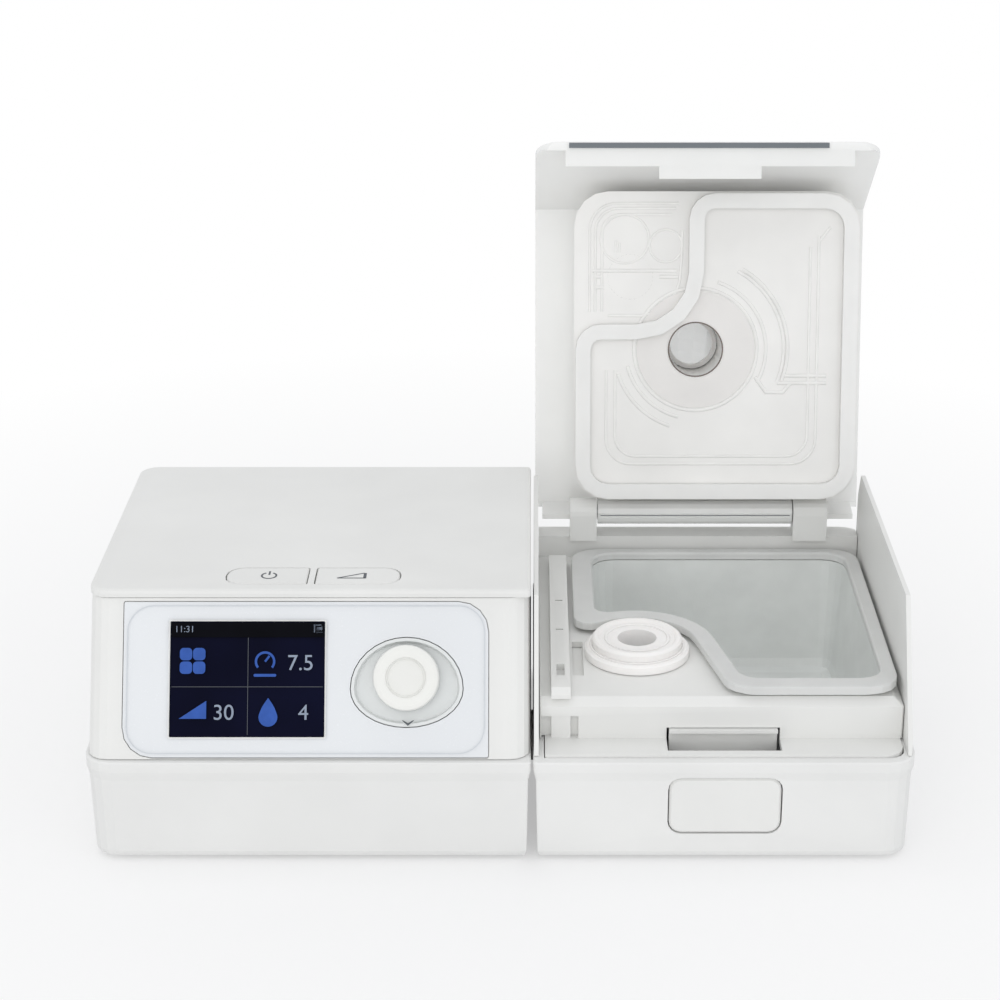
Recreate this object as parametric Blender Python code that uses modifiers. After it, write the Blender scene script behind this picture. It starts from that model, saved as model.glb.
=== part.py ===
# Bedside air-pressure therapy machine: a blower unit with a screen and a dial,
# and a humidifier beside it with a lift-out water chamber under a hinged lid.
# The front faces -Y, the split between the two units is at X = 0 while building.

import math

import bmesh
import bpy
from mathutils import Matrix

MM = 0.001

# Clearances
SEAT = 0.3 * MM            # gap between pieces that seat on each other
SLIDE = 0.4 * MM           # gap round a piece that travels
OVERRUN = 2.0 * MM         # how far a cutter runs past the face it opens
SPLIT_GAP = 0.7 * MM       # gap between the two units

# Whole machine
MAIN_WIDTH = 142.6 * MM
HUMIDIFIER_WIDTH = 122.4 * MM
BODY_DEPTH = 144.5 * MM
BODY_HEIGHT = 84.6 * MM
WALL = 2.2 * MM
FOOT_HEIGHT = 1.0 * MM

# Base trays with their rounded lip
LIP_TOP = 36.0 * MM
LIP_HEIGHT = 3.4 * MM
LIP_REACH = 1.3 * MM       # how far the lip stands out past the upper bodies
LIP_ROUND = 0.5 * MM
COVE_HEIGHT = 3.2 * MM
COVE_INSET = 0.8 * MM
BASE_DRAFT = 1.3 * MM
BASE_ROUND = 2.2 * MM
ROUND_LOW_SHARE = 0.75     # how much of the bottom rounding is left at its two lower rings
ROUND_MID_SHARE = 0.25
OUTER_CORNER = 9.0 * MM
GAP_CORNER = 1.6 * MM
MIN_RADIUS = 0.5 * MM
CORNER_STEPS = 4

# Upper bodies
PANEL_FOOT = 2.0 * MM      # how far behind the lip's front the sloped panel starts
PANEL_LEAN = math.radians(27.1)
FRONT_WALL = 3.2 * MM
POST_CORNER = 6.5 * MM
COVER_THICKNESS = 2.5 * MM
COVER_ROUND = 1.2 * MM
COVER_REACH = 0.4 * MM     # how far the top cover stands out past the walls under it
REAR_KNEE = 66.0 * MM      # height where the rear wall starts to slope forward
REAR_SLOPE = 6.2 * MM

# Overlay, screen and dial, in the panel's own left-right and up-slope coordinates
OVERLAY_LEFT = -129.9 * MM
OVERLAY_RIGHT = -13.9 * MM
OVERLAY_LOW = 0.9 * MM
OVERLAY_HIGH = 50.2 * MM
OVERLAY_CORNER = 9.5 * MM
OVERLAY_THICKNESS = 0.7 * MM
SCREEN_LEFT = -115.0 * MM
SCREEN_WIDTH = 49.2 * MM
SCREEN_LOW = 7.3 * MM
SCREEN_HEIGHT = 36.7 * MM
SCREEN_BORDER = 2.4 * MM
WINDOW_THICKNESS = 1.0 * MM
LCD_THICKNESS = 3.0 * MM
HOLDER_THICKNESS = 5.6 * MM
HOLDER_WALL = 3.0 * MM
DISH_X = -39.8 * MM
DISH_Y = 22.6 * MM
DISH_HALF_WIDTH = 17.8 * MM
DISH_RISE = 16.2 * MM      # reach above the widest line
DISH_DROP = 12.1 * MM      # reach below the widest line
DISH_RIM = 1.0 * MM
DISH_FLANGE = 1.2 * MM
DISH_DEPTH = 2.4 * MM
DISH_WALL = 0.6 * MM
DISH_POINTS = 32
DIAL_Y = 26.0 * MM
DIAL_RADIUS = 10.4 * MM
DIAL_HEIGHT = 6.4 * MM
DIAL_SKIRT = 1.4 * MM      # how far the dial reaches below the panel
DIAL_CROWN = 1.2 * MM
DIAL_RING = 6.4 * MM       # radius of the shallow thumb ring
DIAL_RING_DEPTH = 0.8 * MM
DIAL_WALL = 1.4 * MM
DIAL_STEPS = 48
SHAFT_RADIUS = 3.0 * MM
SHAFT_TOP = 3.4 * MM
ENCODER_SIDE = 13.0 * MM
ENCODER_WALL = 1.2 * MM
ENCODER_BORE = 4.7 * MM
PLUNGER_RADIUS = 4.3 * MM
PLUNGER_HEIGHT = 1.2 * MM
DIAL_TRAVEL = 0.6 * MM
BOARD_THICKNESS = 1.6 * MM
BOARD_LEFT = -126.0 * MM
BOARD_RIGHT = -18.0 * MM
BOARD_LOW = 4.0 * MM
BOARD_HIGH = 46.5 * MM
BOARD_POST_INSET = 3.5 * MM
POST_RADIUS = 2.4 * MM

# Keys in the top cover
KEYS_LEFT = -98.5 * MM
KEYS_RIGHT = -42.6 * MM
KEYS_FRONT = 30.3 * MM
KEYS_BACK = 43.1 * MM
KEY_SPLIT = -71.0 * MM
KEY_CORNER = 5.4 * MM
KEY_ROUND = 0.4 * MM
KEY_PROUD = 0.15 * MM
KEY_FLANGE = 1.2 * MM
KEY_FLANGE_HEIGHT = 1.3 * MM
KEY_TRAVEL = 0.8 * MM
SWITCH_SIDE = 6.0 * MM
SWITCH_HEIGHT = 3.2 * MM
MAT_THICKNESS = 1.0 * MM
KEY_BOARD_REACH = 5.5 * MM
KEY_BOARD_FRONT = 32.6 * MM
KEY_BOARD_BACK = 46.0 * MM

# Blower
BLOWER_X = -92.0 * MM
BLOWER_Y = 92.0 * MM
MOUNT_HEIGHT = 3.9 * MM
MOUNT_INNER = 12.0 * MM
MOUNT_OUTER = 20.0 * MM
VOLUTE_START = 27.0 * MM
VOLUTE_END = 36.0 * MM
VOLUTE_REACH = 46.0 * MM
VOLUTE_MOUTH = 18.0 * MM
VOLUTE_LOWER = 12.0 * MM
VOLUTE_UPPER = 11.0 * MM
VOLUTE_WALL = 2.0 * MM
MOUTH_LIP = 0.1 * MM
VOLUTE_STEPS = 24
INLET_RADIUS = 13.0 * MM
INLET_HEIGHT = 5.0 * MM
MOTOR_RADIUS = 12.0 * MM
MOTOR_HEIGHT = 6.0 * MM
MOTOR_SHAFT = 1.5 * MM
IMPELLER_RADIUS = 22.0 * MM
IMPELLER_HUB = 5.5 * MM
IMPELLER_EYE = 9.0 * MM
IMPELLER_PLATE = 1.5 * MM
IMPELLER_GAP = 1.2 * MM
BLADE_COUNT = 9
BLADE_SWEEP = math.radians(38.0)
BLADE_THICKNESS = 1.3 * MM
DUCT_RADIUS = 6.4 * MM
DUCT_WALL = 1.5 * MM
DUCT_INSERT = 5.0 * MM
DUCT_STEPS = 8
COUPLING_Y = 50.6 * MM
COUPLING_Z = 20.0 * MM
COUPLING_WALL = 1.8 * MM
COUPLING_HALF = 8.0 * MM

# Rear face of the blower unit
FILTER_X = -100.0 * MM
FILTER_WIDTH = 46.0 * MM
FILTER_LOW = 38.8 * MM
FILTER_HEIGHT = 24.0 * MM
FILTER_DEPTH = 10.0 * MM
FILTER_WALL = 1.4 * MM
FILTER_COVER = 2.0 * MM
FOAM_DEPTH = 6.0 * MM
LOUVRE_COUNT = 5
LOUVRE_HEIGHT = 2.0 * MM
LOUVRE_MARGIN = 4.0 * MM
CARD_X = -54.0 * MM
CARD_Z = 47.0 * MM
CARD_WIDTH = 24.0 * MM
CARD_LENGTH = 32.0 * MM
CARD_THICKNESS = 2.1 * MM
CARD_PROUD = 1.0 * MM
SOCKET_WALL = 1.5 * MM
POWER_X = -24.0 * MM
POWER_Z = 48.0 * MM
POWER_WIDTH = 15.0 * MM
POWER_HEIGHT = 13.0 * MM
POWER_DEPTH = 13.0 * MM
POWER_BORE = 4.2 * MM
POWER_BORE_DEPTH = 10.0 * MM
POWER_PIN = 0.9 * MM
POWER_PIN_LENGTH = 8.0 * MM
POWER_BOARD_LEFT = -52.0 * MM
POWER_BOARD_RIGHT = -9.0 * MM
POWER_BOARD_FRONT = 78.0 * MM
POWER_BOARD_BACK = 126.0 * MM
POWER_POST_HEIGHT = 5.0 * MM
POWER_POST_INSET = 4.5 * MM
CAPACITOR_RADIUS = 5.0 * MM
CAPACITOR_HEIGHT = 16.0 * MM

# Feet and case screws
FOOT_RADIUS = 5.5 * MM
FOOT_ROUND = 0.3 * MM
FOOT_INSET = 14.0 * MM
SCREW_SIDE = 30.0 * MM
SCREW_EDGE = 12.0 * MM
SCREW_HEAD = 2.6 * MM
SCREW_HEAD_HEIGHT = 1.6 * MM
SCREW_SHANK = 1.3 * MM
SCREW_LENGTH = 9.0 * MM
SCREW_POINT = 1.2 * MM
SCREW_SUNK = 0.4 * MM
BOSS_RADIUS = 4.0 * MM
BOSS_HEIGHT = 12.0 * MM
ROUND_STEPS = 16

# Humidifier body
DECK_TOP = 50.3 * MM
DECK_EDGE = 47.9 * MM      # height of the deck's sloped edge at the outside
DECK_SLOPE = 3.0 * MM
DECK_THICKNESS = 2.0 * MM
FRONT_FACE = 15.9 * MM     # upright wall behind the ledge
LEDGE_TOP = 36.7 * MM
LEDGE_THICKNESS = 2.2 * MM
SKIRT_THICKNESS = 1.8 * MM
SIDE_THICKNESS = 1.5 * MM
SIDE_TIP = 3.0 * MM
STRIP_LEFT = 6.2 * MM
STRIP_WIDTH = 6.2 * MM
STRIP_FRONT = 16.2 * MM
STRIP_BACK = 127.0 * MM
STRIP_TOP = 53.8 * MM
STRIP_LEG = 2.0 * MM
STRIP_WINDOW = 2.6 * MM
STRIP_WINDOW_FRONT = 27.0 * MM
STRIP_WINDOW_LENGTH = 8.4 * MM
STRIP_DASH = 1.0 * MM
STRIP_DASHES = (62.0 * MM, 86.0 * MM)
NOTCH_LEFT = 3.0 * MM
NOTCH_RIGHT = 14.9 * MM
NOTCH_TOP = 44.6 * MM
SHELF_FRONT = 133.9 * MM
SHELF_TOP = 58.4 * MM

# Water chamber: left, right, front, back, port notch radius, corners, small corner, front corner
RIM_OUTLINE = (14.2 * MM, 118.2 * MM, 17.0 * MM, 131.4 * MM, 20.3 * MM, 9.5 * MM, 5.5 * MM, 9.0 * MM)
MOUTH_OUTLINE = (21.6 * MM, 113.6 * MM, 24.0 * MM, 127.4 * MM, 26.4 * MM, 8.0 * MM, 4.4 * MM, 6.5 * MM)
RIM_TOP = 54.5 * MM
RIM_HEIGHT = 2.6 * MM
RIM_ROUND = 0.6 * MM
RIM_SLANT = math.radians(13.0)
PORT_X = 35.0 * MM
PORT_Y = 50.6 * MM
NOTCH_STEPS = 8
TUB_WALL = 1.0 * MM
TUB_BOTTOM = 8.6 * MM
TUB_DRAFT = 3.0 * MM
TUB_ROUND = 4.0 * MM
TUB_FLANGE_SHARE = 0.3     # where the flange ends between the rim's outside and the mouth
TUB_FLANGE = 1.0 * MM
LINER_GAP = 1.0 * MM
LINER_WALL = 1.4 * MM
LINER_FLOOR = 1.4 * MM
LINER_SHELF = 13.0 * MM
HEATER_THICKNESS = 2.4 * MM
HEATER_INSET = 5.5 * MM
ELEMENT_RADIUS = 14.0 * MM
ELEMENT_X = 79.0 * MM
ELEMENT_Y = 89.0 * MM

# Air port of the humidifier
PORT_FLANGE = 17.4 * MM
PORT_SHOULDER = 53.8 * MM
PORT_DISC = 15.0 * MM
PORT_TOP = 57.0 * MM
PORT_ROUND = 0.8 * MM
PORT_BORE = 6.5 * MM
PORT_LIP = 2.6 * MM
PORT_SOCKET = 9.0 * MM
SLOT_LEFT = 13.4 * MM
SLOT_RIGHT = 17.0 * MM
SLOT_FRONT = 34.0 * MM
SLOT_BACK = 60.0 * MM

# Lid, drawn closed and then swung open about its hinge
HINGE_Y = 137.0 * MM
HINGE_Z = 67.0 * MM
LID_OPEN = math.radians(102.0)
LID_LEFT = 1.2 * MM
LID_RIGHT = 121.0 * MM
LID_THICKNESS = 2.2 * MM
LID_ROUND = 1.4 * MM
LID_CORNER = 9.0 * MM
LID_SIDE_CLEAR = 2.6 * MM
SKIRT_END = 37.7 * MM
FLANGE_LEFT = 11.6 * MM
FLANGE_RIGHT = 111.4 * MM
FLANGE_REACH = 11.2 * MM
FLANGE_THICKNESS = 1.3 * MM
TAB_LEFT = 43.9 * MM
TAB_RIGHT = 79.2 * MM
TAB_REACH = 15.5 * MM
TAB_THICKNESS = 1.0 * MM
TRIM_LEFT = 12.8 * MM
TRIM_RIGHT = 102.4 * MM
TRIM_HEIGHT = 0.4 * MM
REAR_SKIRT_END = 73.0 * MM
BARREL_RADIUS = 4.6 * MM
BARREL_LEFT = 24.0 * MM
BARREL_RIGHT = 94.9 * MM
WEB_THICKNESS = 2.4 * MM
KNUCKLE_RADIUS = 5.0 * MM
KNUCKLE_LEFT = 13.9 * MM
KNUCKLE_RIGHT = 107.6 * MM
KNUCKLE_BACK = 138.6 * MM
PIN_RADIUS = 1.5 * MM
CLEAR_LEFT = 15.0 * MM
CLEAR_RIGHT = 116.6 * MM
CLEAR_FRONT = 20.4 * MM
CLEAR_BACK = 131.0 * MM
CLEAR_TOP_FRONT = 29.5 * MM
CLEAR_TOP_INSET = 2.5 * MM
CLEAR_CORNER = 12.0 * MM
CLEAR_BOTTOM = 57.4 * MM
CLEAR_WALL = 1.5 * MM
OUTLET_X = 58.5 * MM
OUTLET_Y = 76.5 * MM
OUTLET_RADIUS = 9.5 * MM
COLLAR_WALL = 1.6 * MM
INLET_HOLE = 8.0 * MM
GASKET_WIDTH = 5.3 * MM
GASKET_HEIGHT = 2.2 * MM
GASKET_INSET = 0.6 * MM
GASKET_NOTCH_X = 55.8 * MM
GASKET_NOTCH_Y = 67.4 * MM
GASKET_BEND = 9.0 * MM
GASKET_SWEEP = 18.5 * MM     # outer radius of the bend between the air port and the outlet
ELBOW_RADIUS = 10.8 * MM
ELBOW_WALL = 1.7 * MM
ELBOW_RISE = 21.0 * MM
ELBOW_BEND = 15.0 * MM
ELBOW_REACH = 30.0 * MM
ELBOW_COLLAR = 14.0 * MM
ELBOW_COLLAR_HEIGHT = 3.0 * MM
ELBOW_STEPS = 8
SEAL_WALL = 1.4 * MM
SEAL_HEIGHT = 3.0 * MM

# Release button and latch
BUTTON_LEFT = 43.3 * MM
BUTTON_RIGHT = 79.8 * MM
BUTTON_LOW = 10.0 * MM
BUTTON_HIGH = 30.4 * MM
BUTTON_CORNER = 4.4 * MM
BUTTON_FACE = 0.9 * MM     # depth of the button's face
BUTTON_THICKNESS = 3.6 * MM
BUTTON_ROUND = 0.7 * MM
LATCH_TOP = 40.5 * MM
LATCH_FRONT = 7.3 * MM
CATCH_FRONT = 16.4 * MM
CATCH_THICKNESS = 1.5 * MM
CATCH_INSET = 0.8 * MM
CATCH_NOSE = 2.1 * MM
CATCH_NOSE_HEIGHT = 1.1 * MM
CATCH_LOW = 22.0 * MM
CATCH_ARM = 2.0 * MM
CATCH_ARM_WIDTH = 8.0 * MM
SPRING_RADIUS = 2.4 * MM
SPRING_WIRE = 0.4 * MM
SPRING_TURNS = 4
LATCH_TRAVEL = 2.2 * MM     # how far the button goes in; the spring is drawn at this length
SPRING_POINTS = 8
SPRING_Z = 15.0 * MM
SPRING_STOP = 13.0 * MM
SPRING_STOP_TOP = 19.0 * MM

MERGE = 0.00001
SHARP_ANGLE = math.radians(35.0)
QUARTER = math.pi / 2


# Places worked out from the sizes above

def panel_y(z, setback=0.0):
    """Depth of the sloped front plane at a height, moved square to the plane by the setback."""
    return PANEL_FOOT + (z - LIP_TOP) * math.tan(PANEL_LEAN) + setback / math.cos(PANEL_LEAN)


def rear_y(z, inset=0.0):
    """Depth of the rear wall, upright to the knee and sloped forward above it."""
    share = max(0.0, (z - REAR_KNEE) / (BODY_HEIGHT - REAR_KNEE))
    return BODY_DEPTH - LIP_REACH - REAR_SLOPE * share - inset


MAIN_LEFT = -MAIN_WIDTH
MAIN_RIGHT = -SPLIT_GAP / 2
HUMIDIFIER_LEFT = SPLIT_GAP / 2
HUMIDIFIER_RIGHT = HUMIDIFIER_WIDTH
BASE_BOTTOM = FOOT_HEIGHT + SEAT
TRAY_FLOOR = BASE_BOTTOM + WALL
UPPER_BOTTOM = LIP_TOP + SEAT
UPPER_BACK = BODY_DEPTH - LIP_REACH
COVER_BOTTOM = BODY_HEIGHT - COVER_THICKNESS
UPPER_TOP = COVER_BOTTOM - SEAT
RECESS_DEPTH = OVERLAY_THICKNESS + SEAT
LCD_FACE = WINDOW_THICKNESS + SEAT
HOLDER_FACE = LCD_FACE + LCD_THICKNESS + SEAT
BOARD_FACE = HOLDER_FACE + HOLDER_THICKNESS + SEAT
DISH_BACK = FRONT_WALL + SEAT + DISH_FLANGE
ENCODER_TOP = DISH_BACK + SEAT
ENCODER_BACK = BOARD_FACE - SEAT
PLUNGER_BACK = ENCODER_BACK - ENCODER_WALL - DIAL_TRAVEL - SEAT
PLUNGER_FACE = PLUNGER_BACK - PLUNGER_HEIGHT
KEY_TOP = BODY_HEIGHT + KEY_PROUD
KEY_FLANGE_TOP = COVER_BOTTOM - SEAT
KEY_BOTTOM = KEY_FLANGE_TOP - KEY_FLANGE_HEIGHT
SWITCH_TOP = KEY_BOTTOM - KEY_TRAVEL - SEAT
KEY_BOARD_TOP = SWITCH_TOP - SWITCH_HEIGHT - SEAT
VOLUTE_BOTTOM = TRAY_FLOOR + SEAT + MOUNT_HEIGHT + SEAT
VOLUTE_SPLIT = VOLUTE_BOTTOM + VOLUTE_LOWER
VOLUTE_TOP = VOLUTE_SPLIT + SEAT + VOLUTE_UPPER
SIDE_LEFT = HUMIDIFIER_LEFT + SEAT
SIDE_RIGHT = HUMIDIFIER_RIGHT - LIP_REACH
HOUSING_LEFT = SIDE_LEFT + SIDE_THICKNESS + SEAT
HOUSING_RIGHT = SIDE_RIGHT - SIDE_THICKNESS - SEAT
SIDE_SETBACK = SKIRT_THICKNESS + SEAT
RIM_BOTTOM = RIM_TOP - RIM_HEIGHT
TUB_FLANGE_TOP = RIM_BOTTOM - SEAT
TUB_FLOOR = TUB_BOTTOM + TUB_WALL
LINER_TOP = DECK_TOP - DECK_THICKNESS - SEAT
LINER_BOTTOM = TRAY_FLOOR + SEAT
HEATER_TOP = TUB_BOTTOM - SEAT
HEATER_BOTTOM = HEATER_TOP - HEATER_THICKNESS
LID_UNDER = BODY_HEIGHT - LID_THICKNESS
CLEAR_TOP = LID_UNDER - SEAT
GASKET_TOP = CLEAR_BOTTOM - SEAT


# Scene and materials

FINISHES = {
    "shell_white": ((0.80, 0.80, 0.78), 0.45, 0.0, 1.0),
    "glossy_white": ((0.86, 0.86, 0.84), 0.2, 0.0, 1.0),
    "panel_film": ((0.80, 0.84, 0.88), 0.35, 0.0, 1.0),
    "screen": ((0.02, 0.02, 0.06), 0.15, 0.0, 1.0),
    "clear_window": ((0.85, 0.88, 0.9), 0.05, 0.0, 0.3),
    "silicone": ((0.72, 0.72, 0.70), 0.5, 0.0, 1.0),
    "clear_plastic": ((0.88, 0.87, 0.84), 0.12, 0.0, 0.4),
    "aluminium": ((0.62, 0.64, 0.64), 0.35, 1.0, 1.0),
    "steel": ((0.55, 0.56, 0.58), 0.3, 1.0, 1.0),
    "board_green": ((0.03, 0.18, 0.08), 0.5, 0.0, 1.0),
    "black_plastic": ((0.03, 0.03, 0.03), 0.5, 0.0, 1.0),
    "grey_trim": ((0.14, 0.16, 0.17), 0.5, 0.0, 1.0),
    "rubber": ((0.05, 0.05, 0.05), 0.8, 0.0, 1.0),
    "foam": ((0.25, 0.25, 0.27), 0.95, 0.0, 1.0),
}


def clear_scene():
    for item in list(bpy.data.objects):
        bpy.data.objects.remove(item, do_unlink=True)


def new_collection(name):
    collection = bpy.data.collections.new(name)
    bpy.context.scene.collection.children.link(collection)
    return collection


clear_scene()
PARTS = new_collection("breathing_machine")
TOOLS = new_collection("cutters")


def make_material(name, finish):
    color, roughness, metallic, alpha = FINISHES[finish]
    material = bpy.data.materials.new(name)
    material.use_nodes = True
    shader = material.node_tree.nodes["Principled BSDF"]
    shader.inputs["Base Color"].default_value = (*color, 1.0)
    shader.inputs["Roughness"].default_value = roughness
    shader.inputs["Metallic"].default_value = metallic
    shader.inputs["Alpha"].default_value = alpha
    return material


def add_object(name, mesh, finish):
    """A piece when it has a finish, otherwise a hidden tool for booleans."""
    mesh.name = name
    item = bpy.data.objects.new(name, mesh)
    if finish:
        PARTS.objects.link(item)
        mesh.materials.append(make_material(name, finish))
    else:
        TOOLS.objects.link(item)
        item.hide_render = True
        item.display_type = "WIRE"
    return item


def finish_mesh(name, bm, finish):
    mesh = bpy.data.meshes.new(name)
    bm.to_mesh(mesh)
    bm.free()
    mesh.shade_smooth()
    mesh.set_sharp_from_angle(angle=SHARP_ANGLE)
    return add_object(name, mesh, finish)


def boolean(item, other, operation="DIFFERENCE"):
    modifier = item.modifiers.new(operation.lower(), "BOOLEAN")
    modifier.operation = operation
    modifier.solver = "EXACT"
    modifier.object = other


# Shapes

def arc(cx, cy, radius, start, end, steps):
    points = []
    for i in range(steps + 1):
        angle = start + (end - start) * i / steps
        points.append((cx + radius * math.cos(angle), cy + radius * math.sin(angle)))
    return points


def rounded(left, right, front, back, radii, steps=CORNER_STEPS):
    """Rounded rectangle with radii given front left, front right, back right, back left."""
    corners = (
        (left + radii[0], front + radii[0], radii[0], 2 * QUARTER),
        (right - radii[1], front + radii[1], radii[1], 3 * QUARTER),
        (right - radii[2], back - radii[2], radii[2], 0.0),
        (left + radii[3], back - radii[3], radii[3], QUARTER),
    )
    points = []
    for cx, cy, radius, start in corners:
        points += arc(cx, cy, radius, start, start + QUARTER, steps)
    return points


def at_height(points, z):
    return [(x, y, z) for x, y in points]


def loft(name, rings, finish, closed=False):
    """Skin rings of equal point counts, with capped ends or joined end to end."""
    bm = bmesh.new()
    rows = [[bm.verts.new(point) for point in ring] for ring in rings]
    pairs = list(zip(rows, rows[1:]))
    if closed:
        pairs.append((rows[-1], rows[0]))
    for low, high in pairs:
        for i in range(len(low)):
            j = (i + 1) % len(low)
            bm.faces.new((low[i], low[j], high[j], high[i]))
    if not closed:
        bm.faces.new(rows[0])
        bm.faces.new(rows[-1])
    bmesh.ops.recalc_face_normals(bm, faces=bm.faces)
    return finish_mesh(name, bm, finish)


def box(name, x_range, y_range, z_range, finish=None):
    bm = bmesh.new()
    bmesh.ops.create_cube(bm, size=1.0)
    ranges = (x_range, y_range, z_range)
    bmesh.ops.scale(bm, vec=[high - low for low, high in ranges], verts=bm.verts)
    bmesh.ops.translate(bm, vec=[(low + high) / 2 for low, high in ranges], verts=bm.verts)
    return finish_mesh(name, bm, finish)


def cylinder(name, radius, bottom, top, place=(0.0, 0.0), finish=None, steps=ROUND_STEPS):
    bm = bmesh.new()
    bmesh.ops.create_cone(
        bm, cap_ends=True, segments=steps, radius1=radius, radius2=radius, depth=top - bottom)
    bmesh.ops.translate(bm, vec=(place[0], place[1], (bottom + top) / 2), verts=bm.verts)
    return finish_mesh(name, bm, finish)


def turned(name, profile, finish=None, steps=2 * ROUND_STEPS):
    """Revolve a profile that runs from its top down its outer side."""
    bm = bmesh.new()
    verts = [bm.verts.new((r, 0.0, z)) for r, z in profile]
    for a, b in zip(verts, verts[1:]):
        bm.edges.new((a, b))
    if profile[0][0] > 0.0 and profile[-1][0] > 0.0:
        bm.edges.new((verts[-1], verts[0]))
    item = finish_mesh(name, bm, finish)
    screw = item.modifiers.new("turn", "SCREW")
    screw.axis = "Z"
    screw.steps = steps
    screw.render_steps = steps
    screw.use_merge_vertices = True
    screw.merge_threshold = MERGE
    screw.use_smooth_shade = True
    return item


def plate(name, outlines, low, high, finish=None):
    """Filled flat outline with any holes, given its thickness from low to high."""
    curve = bpy.data.curves.new(name, "CURVE")
    curve.dimensions = "2D"
    curve.fill_mode = "BOTH"
    curve.extrude = (high - low) / 2
    for outline in outlines:
        spline = curve.splines.new("POLY")
        spline.points.add(len(outline) - 1)
        for point, (x, y) in zip(spline.points, outline):
            point.co = (x, y, 0.0, 1.0)
        spline.use_cyclic_u = True
    item = weld_curve(curve, name, finish)
    item.data.transform(Matrix.Translation((0.0, 0.0, (low + high) / 2)))
    return item


def tube(name, points, radius, finish=None, sides=2):
    curve = bpy.data.curves.new(name, "CURVE")
    curve.dimensions = "3D"
    curve.bevel_depth = radius
    curve.bevel_resolution = sides
    curve.use_fill_caps = True
    spline = curve.splines.new("POLY")
    spline.points.add(len(points) - 1)
    for point, place in zip(spline.points, points):
        point.co = (*place, 1.0)
    return weld_curve(curve, name, finish)


def weld_curve(curve, name, finish):
    """Turn a curve into a mesh with its seams welded."""
    drawn = bpy.data.objects.new(name + "_curve", curve)
    TOOLS.objects.link(drawn)
    graph = bpy.context.evaluated_depsgraph_get()
    bm = bmesh.new()
    bm.from_mesh(bpy.data.meshes.new_from_object(drawn.evaluated_get(graph)))
    bmesh.ops.remove_doubles(bm, verts=bm.verts, dist=MERGE)
    bpy.data.objects.remove(drawn, do_unlink=True)
    return finish_mesh(name, bm, finish)


def bezier(a, b, c, d, steps):
    """Points along a cubic curve between two places with their handles."""
    points = []
    for i in range(steps + 1):
        t = i / steps
        weights = ((1 - t) ** 3, 3 * t * (1 - t) ** 2, 3 * t * t * (1 - t), t ** 3)
        points.append(tuple(sum(w * p[k] for w, p in zip(weights, (a, b, c, d))) for k in range(3)))
    return points


def repeat_at(item, places):
    """Rebuild a piece as a group of separate copies of itself."""
    graph = bpy.context.evaluated_depsgraph_get()
    single = bpy.data.meshes.new_from_object(item.evaluated_get(graph))
    bm = bmesh.new()
    for place in places:
        count = len(bm.verts)
        bm.from_mesh(single)
        bm.verts.ensure_lookup_table()
        bmesh.ops.translate(bm, vec=place, verts=bm.verts[count:])
    item.modifiers.clear()
    bm.to_mesh(item.data)
    bm.free()
    return item


def turn_mesh(item, angle, axis):
    item.data.transform(Matrix.Rotation(angle, 4, axis))
    return item


def profile_along_x(name, outline, left, right, finish=None):
    """Side profile drawn in depth and height, given its width from left to right."""
    item = plate(name, [outline], left, right, finish)
    item.data.transform(Matrix(((0, 0, 1, 0), (1, 0, 0, 0), (0, 1, 0, 0), (0, 0, 0, 1))))
    return item


def rod_along_x(name, radius, left, right, y, z, finish=None):
    item = turn_mesh(cylinder(name, radius, left, right, (0.0, 0.0), finish), QUARTER, "Y")
    item.data.transform(Matrix.Translation((0.0, y, z)))
    return item


def rod_along_y(name, radius, front, back, x, z, finish=None):
    item = turn_mesh(cylinder(name, radius, -back, -front, (0.0, 0.0), finish), QUARTER, "X")
    item.data.transform(Matrix.Translation((x, 0.0, z)))
    return item


def ring_between(name, outer, inner, bottom, top, finish):
    """Straight-walled ring between two outlines of equal point counts."""
    rings = (at_height(outer, bottom), at_height(outer, top), at_height(inner, top),
        at_height(inner, bottom))
    return loft(name, rings, finish, closed=True)


# Helper frames

def new_empty(name, place=(0.0, 0.0, 0.0), turn=0.0, parent=None):
    empty = bpy.data.objects.new(name, None)
    PARTS.objects.link(empty)
    empty.location = place
    empty.rotation_euler.x = turn
    empty.parent = parent
    return empty


MACHINE = new_empty("machine")
PANEL = new_empty("panel_plane", (0.0, PANEL_FOOT, LIP_TOP), QUARTER - PANEL_LEAN, MACHINE)
LID_SWING = new_empty("lid_swing", (0.0, HINGE_Y, HINGE_Z), -LID_OPEN, MACHINE)


def on_machine(*items):
    for item in items:
        item.parent = MACHINE


def on_panel(*items):
    for item in items:
        item.parent = PANEL


def on_lid(*items):
    """Hang pieces drawn in the closed place, with the tools that cut them, on the turned lid."""
    for item in items:
        tools = [modifier.object for modifier in item.modifiers if modifier.type == "BOOLEAN"]
        for rider in (item, *tools):
            rider.parent = LID_SWING
            rider.matrix_parent_inverse = Matrix.Translation((0.0, -HINGE_Y, -HINGE_Z))


# Base trays, feet and screws

def body_ring(left, right, z, inset, radii):
    small = [max(radius - inset, MIN_RADIUS) for radius in radii]
    return at_height(rounded(left + inset, right - inset, inset, BODY_DEPTH - inset, small), z)


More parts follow.
